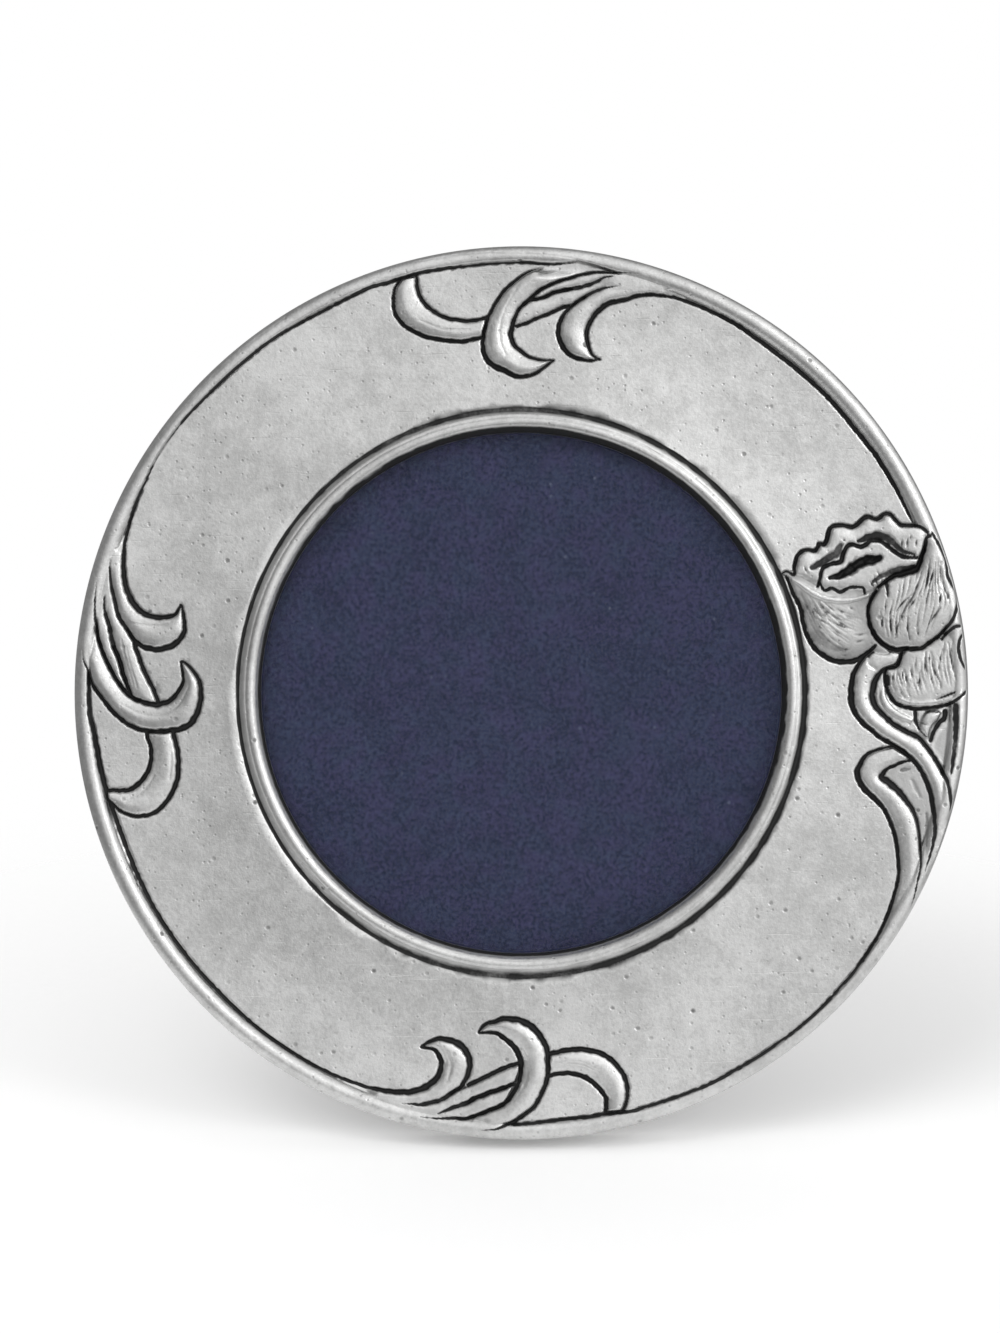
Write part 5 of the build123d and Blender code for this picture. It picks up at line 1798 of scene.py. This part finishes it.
@dataclass
class Fasteners:
    """Slotted screws of the turn buttons and domed rivets of the hinge."""

    face: FaceFrame
    finish: NickelSteel = field(default_factory=NickelSteel)
    screw: HeadShape = HeadShape(
        "slotted_screw",
        ((0, -1.6), (0.76, -1.6), (0.76, 0.0), (1.46, 0.0), (1.5, 0.06), (1.5, 0.3), (1.44, 0.47), (1.3, 0.61),
         (1.05, 0.71), (0.7, 0.77), (0.35, 0.795), (0, 0.8)),
        slot_width=0.35,
        slot_depth=0.35,
    )
    rivet: HeadShape = HeadShape(
        "domed_rivet",
        ((0, -0.75), (0.86, -0.75), (0.86, 0.0), (1.57, 0.0), (1.6, 0.05), (1.53, 0.22), (1.36, 0.38), (1.1, 0.49),
         (0.75, 0.56), (0.38, 0.59), (0, 0.6)),
    )
    button_radius: float = 52.25
    button_angles: tuple[float, ...] = (90.0, 210.0, 330.0)
    screw_seat: float = -1.1
    pin_height: float = 20.0
    pin_depth: float = -2.0
    back_rivets: tuple[Point, ...] = ((-5.0, 27.3), (5.0, 27.3))
    back_seat: float = -0.7
    leg_rivets: tuple[Point, ...] = ((0.0, 8.0), (0.0, 14.0))
    leg_seat: float = -3.7

    def _facing(self, opening: float = 0.0) -> Matrix:
        """Turn that takes +Z to the way out of the back, or of the leg opened by an angle."""
        return Matrix.Rotation(math.radians(90) - self.face.lean + opening, 3, "X") @ Matrix.Rotation(math.pi, 3, "X")

    def _on_leg(self, up: float, out: float) -> Point:
        """Where a point of the folded leg lies once the leg is open."""
        away, deep = up - self.pin_height, out - self.pin_depth
        sine, cosine = math.sin(LEG_OPENING), math.cos(LEG_OPENING)
        return self.pin_height + away * cosine - deep * sine, self.pin_depth + away * sine + deep * cosine

    def build(self) -> None:
        """Makes the screws and the two pairs of rivets."""
        nodes, steel = FastenerNodes(), self.finish.material()
        heads = {}
        for shape in (self.screw, self.rivet):
            heads[shape.name] = bpy.data.objects.new(shape.name, shape.mesh())
            bpy.context.scene.collection.objects.link(heads[shape.name])
        screw_places = []
        for angle in map(math.radians, self.button_angles):
            right, up = self.button_radius * math.cos(angle), self.button_radius * math.sin(angle)
            screw_places.append(self.face.point(right, up, self.screw_seat))
        back_places = [self.face.point(*place, self.back_seat) for place in self.back_rivets]
        leg_places = [self.face.point(right, *self._on_leg(up, self.leg_seat)) for right, up in self.leg_rivets]
        back, leg = self._facing(), self._facing(LEG_OPENING)
        rows = (
            ("button_screws", screw_places, back, "slotted_screw", math.pi, Body.FRAME, "turn_button_screws"),
            ("back_leaf_rivets", back_places, back, "domed_rivet", 0.0, Body.FRAME, "hinge_back_rivets"),
            ("leg_leaf_rivets", leg_places, leg, "domed_rivet", 0.0, Body.LEG, "hinge_leg_rivets"),
        )
        for name, places, facing, head, twist, body, node in rows:
            mesh = nodes.mesh(np.array(places), facing, heads[head], twist, steel)
            piece = new_piece(name, mesh, steel, body)
            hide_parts(node)
        for head in heads.values():
            bpy.data.objects.remove(head)


# The studio


@dataclass
class Studio:
    """White paper, soft lamps, a bright surround and the camera, square to the leaning face."""

    face: FaceFrame
    lens: float = 120.0
    sensor: float = 36.0
    image_height: float = 1333.0
    image_width: float = 1000.0
    pixel: float = 0.12192
    middle: Point = (521.3, 693.0)
    seen_height: float = 6.0
    floor_half: float = 3.0
    ambient: float = 0.72
    bright_side: Colour = (0.55, -0.56, 0.616)
    metal_low: float = 0.30
    metal_high: float = 1.55
    metal_turn: Point = (0.15, 1.22)

    def build(self) -> None:
        """Makes everything round the frame."""
        self._sweep()
        self._surround()
        self._lamp("key", (-0.42, -0.62, 0.72), size=0.6, power=3.5, shines=False)
        self._lamp("fill", (0.55, -0.55, 0.5), size=0.25, power=1.0, shines=True)
        self._camera()
        bpy.context.scene.view_settings.view_transform = "Standard"

    def _sweep(self) -> None:
        """Lays the paper that the frame stands on."""
        half = self.floor_half
        mesh = bpy.data.meshes.new("paper_sweep")
        mesh.from_pydata([(-half, -half, 0), (half, -half, 0), (half, half, 0), (-half, half, 0)], [], [(0, 1, 2, 3)])
        mesh.materials.append(PaperSweep().material())
        floor = bpy.data.objects.new("paper_sweep", mesh)
        bpy.context.scene.collection.objects.link(floor)

    def _surround(self) -> None:
        """Sets the world: white where the camera looks, plain for matt things, bright up and right for the metal."""
        world = bpy.data.worlds.new("surround")
        bpy.context.scene.world = world
        tree = ShaderTree(world)
        heading = tree.node("ShaderNodeTexCoord", output="Generated")
        ends = {0: heading, 1: self.bright_side}
        facing = tree.node("ShaderNodeVectorMath", {"operation": "DOT_PRODUCT"}, ends, "Value")
        glow = self.metal_low + facing.step_up(*self.metal_turn) * (self.metal_high - self.metal_low)
        path = tree.node("ShaderNodeLightPath", output="Is Camera Ray")
        glossy = path.other("Is Glossy Ray").larger(path.other("Is Transmission Ray"))
        level = glossy * glow + (1.0 - glossy) * self.ambient
        level = level + path * (1.0 - level)
        light = tree.node("ShaderNodeBackground", {}, {"Color": (1, 1, 1, 1), "Strength": level})
        end = world.node_tree.nodes.new("ShaderNodeOutputWorld")
        world.node_tree.links.new(light.socket, end.inputs["Surface"])

    def _lamp(self, name: str, place: Colour, size: float, power: float, shines: bool) -> None:
        """Adds a square soft lamp aimed at the frame.

        Args:
            name: the lamp's name.
            place: where it hangs, in metres.
            size: length of its side.
            power: watts.
            shines: whether the metal shows it.
        """
        data = bpy.data.lights.new(name, "AREA")
        data.size, data.energy = size, power
        lamp = bpy.data.objects.new(name, data)
        lamp.location = place
        aim = Vector(self.face.centre) - Vector(place)
        lamp.rotation_euler = aim.to_track_quat("-Z", "Y").to_euler()
        lamp.visible_glossy = shines
        bpy.context.scene.collection.objects.link(lamp)

    def _camera(self) -> None:
        """Sets the camera at the photograph's distance and framing."""
        distance = self.lens * self.image_height * self.pixel / self.sensor
        right = (self.image_width / 2 - self.middle[0]) * self.pixel
        up = (self.middle[1] - self.image_height / 2) * self.pixel
        data = bpy.data.cameras.new("camera")
        data.lens, data.sensor_width = self.lens, self.sensor
        data.clip_start, data.clip_end = 0.01, 20.0
        camera = bpy.data.objects.new("camera", data)
        camera.location = self.face.point(right, up, self.seen_height + distance)
        camera.rotation_euler = (math.radians(90) - self.face.lean, 0.0, 0.0)
        bpy.context.scene.collection.objects.link(camera)
        bpy.context.scene.camera = camera


def main() -> None:
    """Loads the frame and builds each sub-assembly."""
    logging.basicConfig(level=logging.INFO, format="%(name)s: %(message)s")
    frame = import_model()
    nodes = frame["nodes"]
    low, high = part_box("glazing_disc")
    outward = np.array((0.0, -math.cos(LEAN), math.sin(LEAN)))
    face = FaceFrame(np.array((low + high) / 2) - outward * GLASS_MIDDLE * MM)
    Studio(face).build()
    Casting(face).build()
    Infill(nodes, face).build()
    BackAndEasel(nodes).build()
    Fasteners(face).build()


if __name__ == "__main__":
    main()
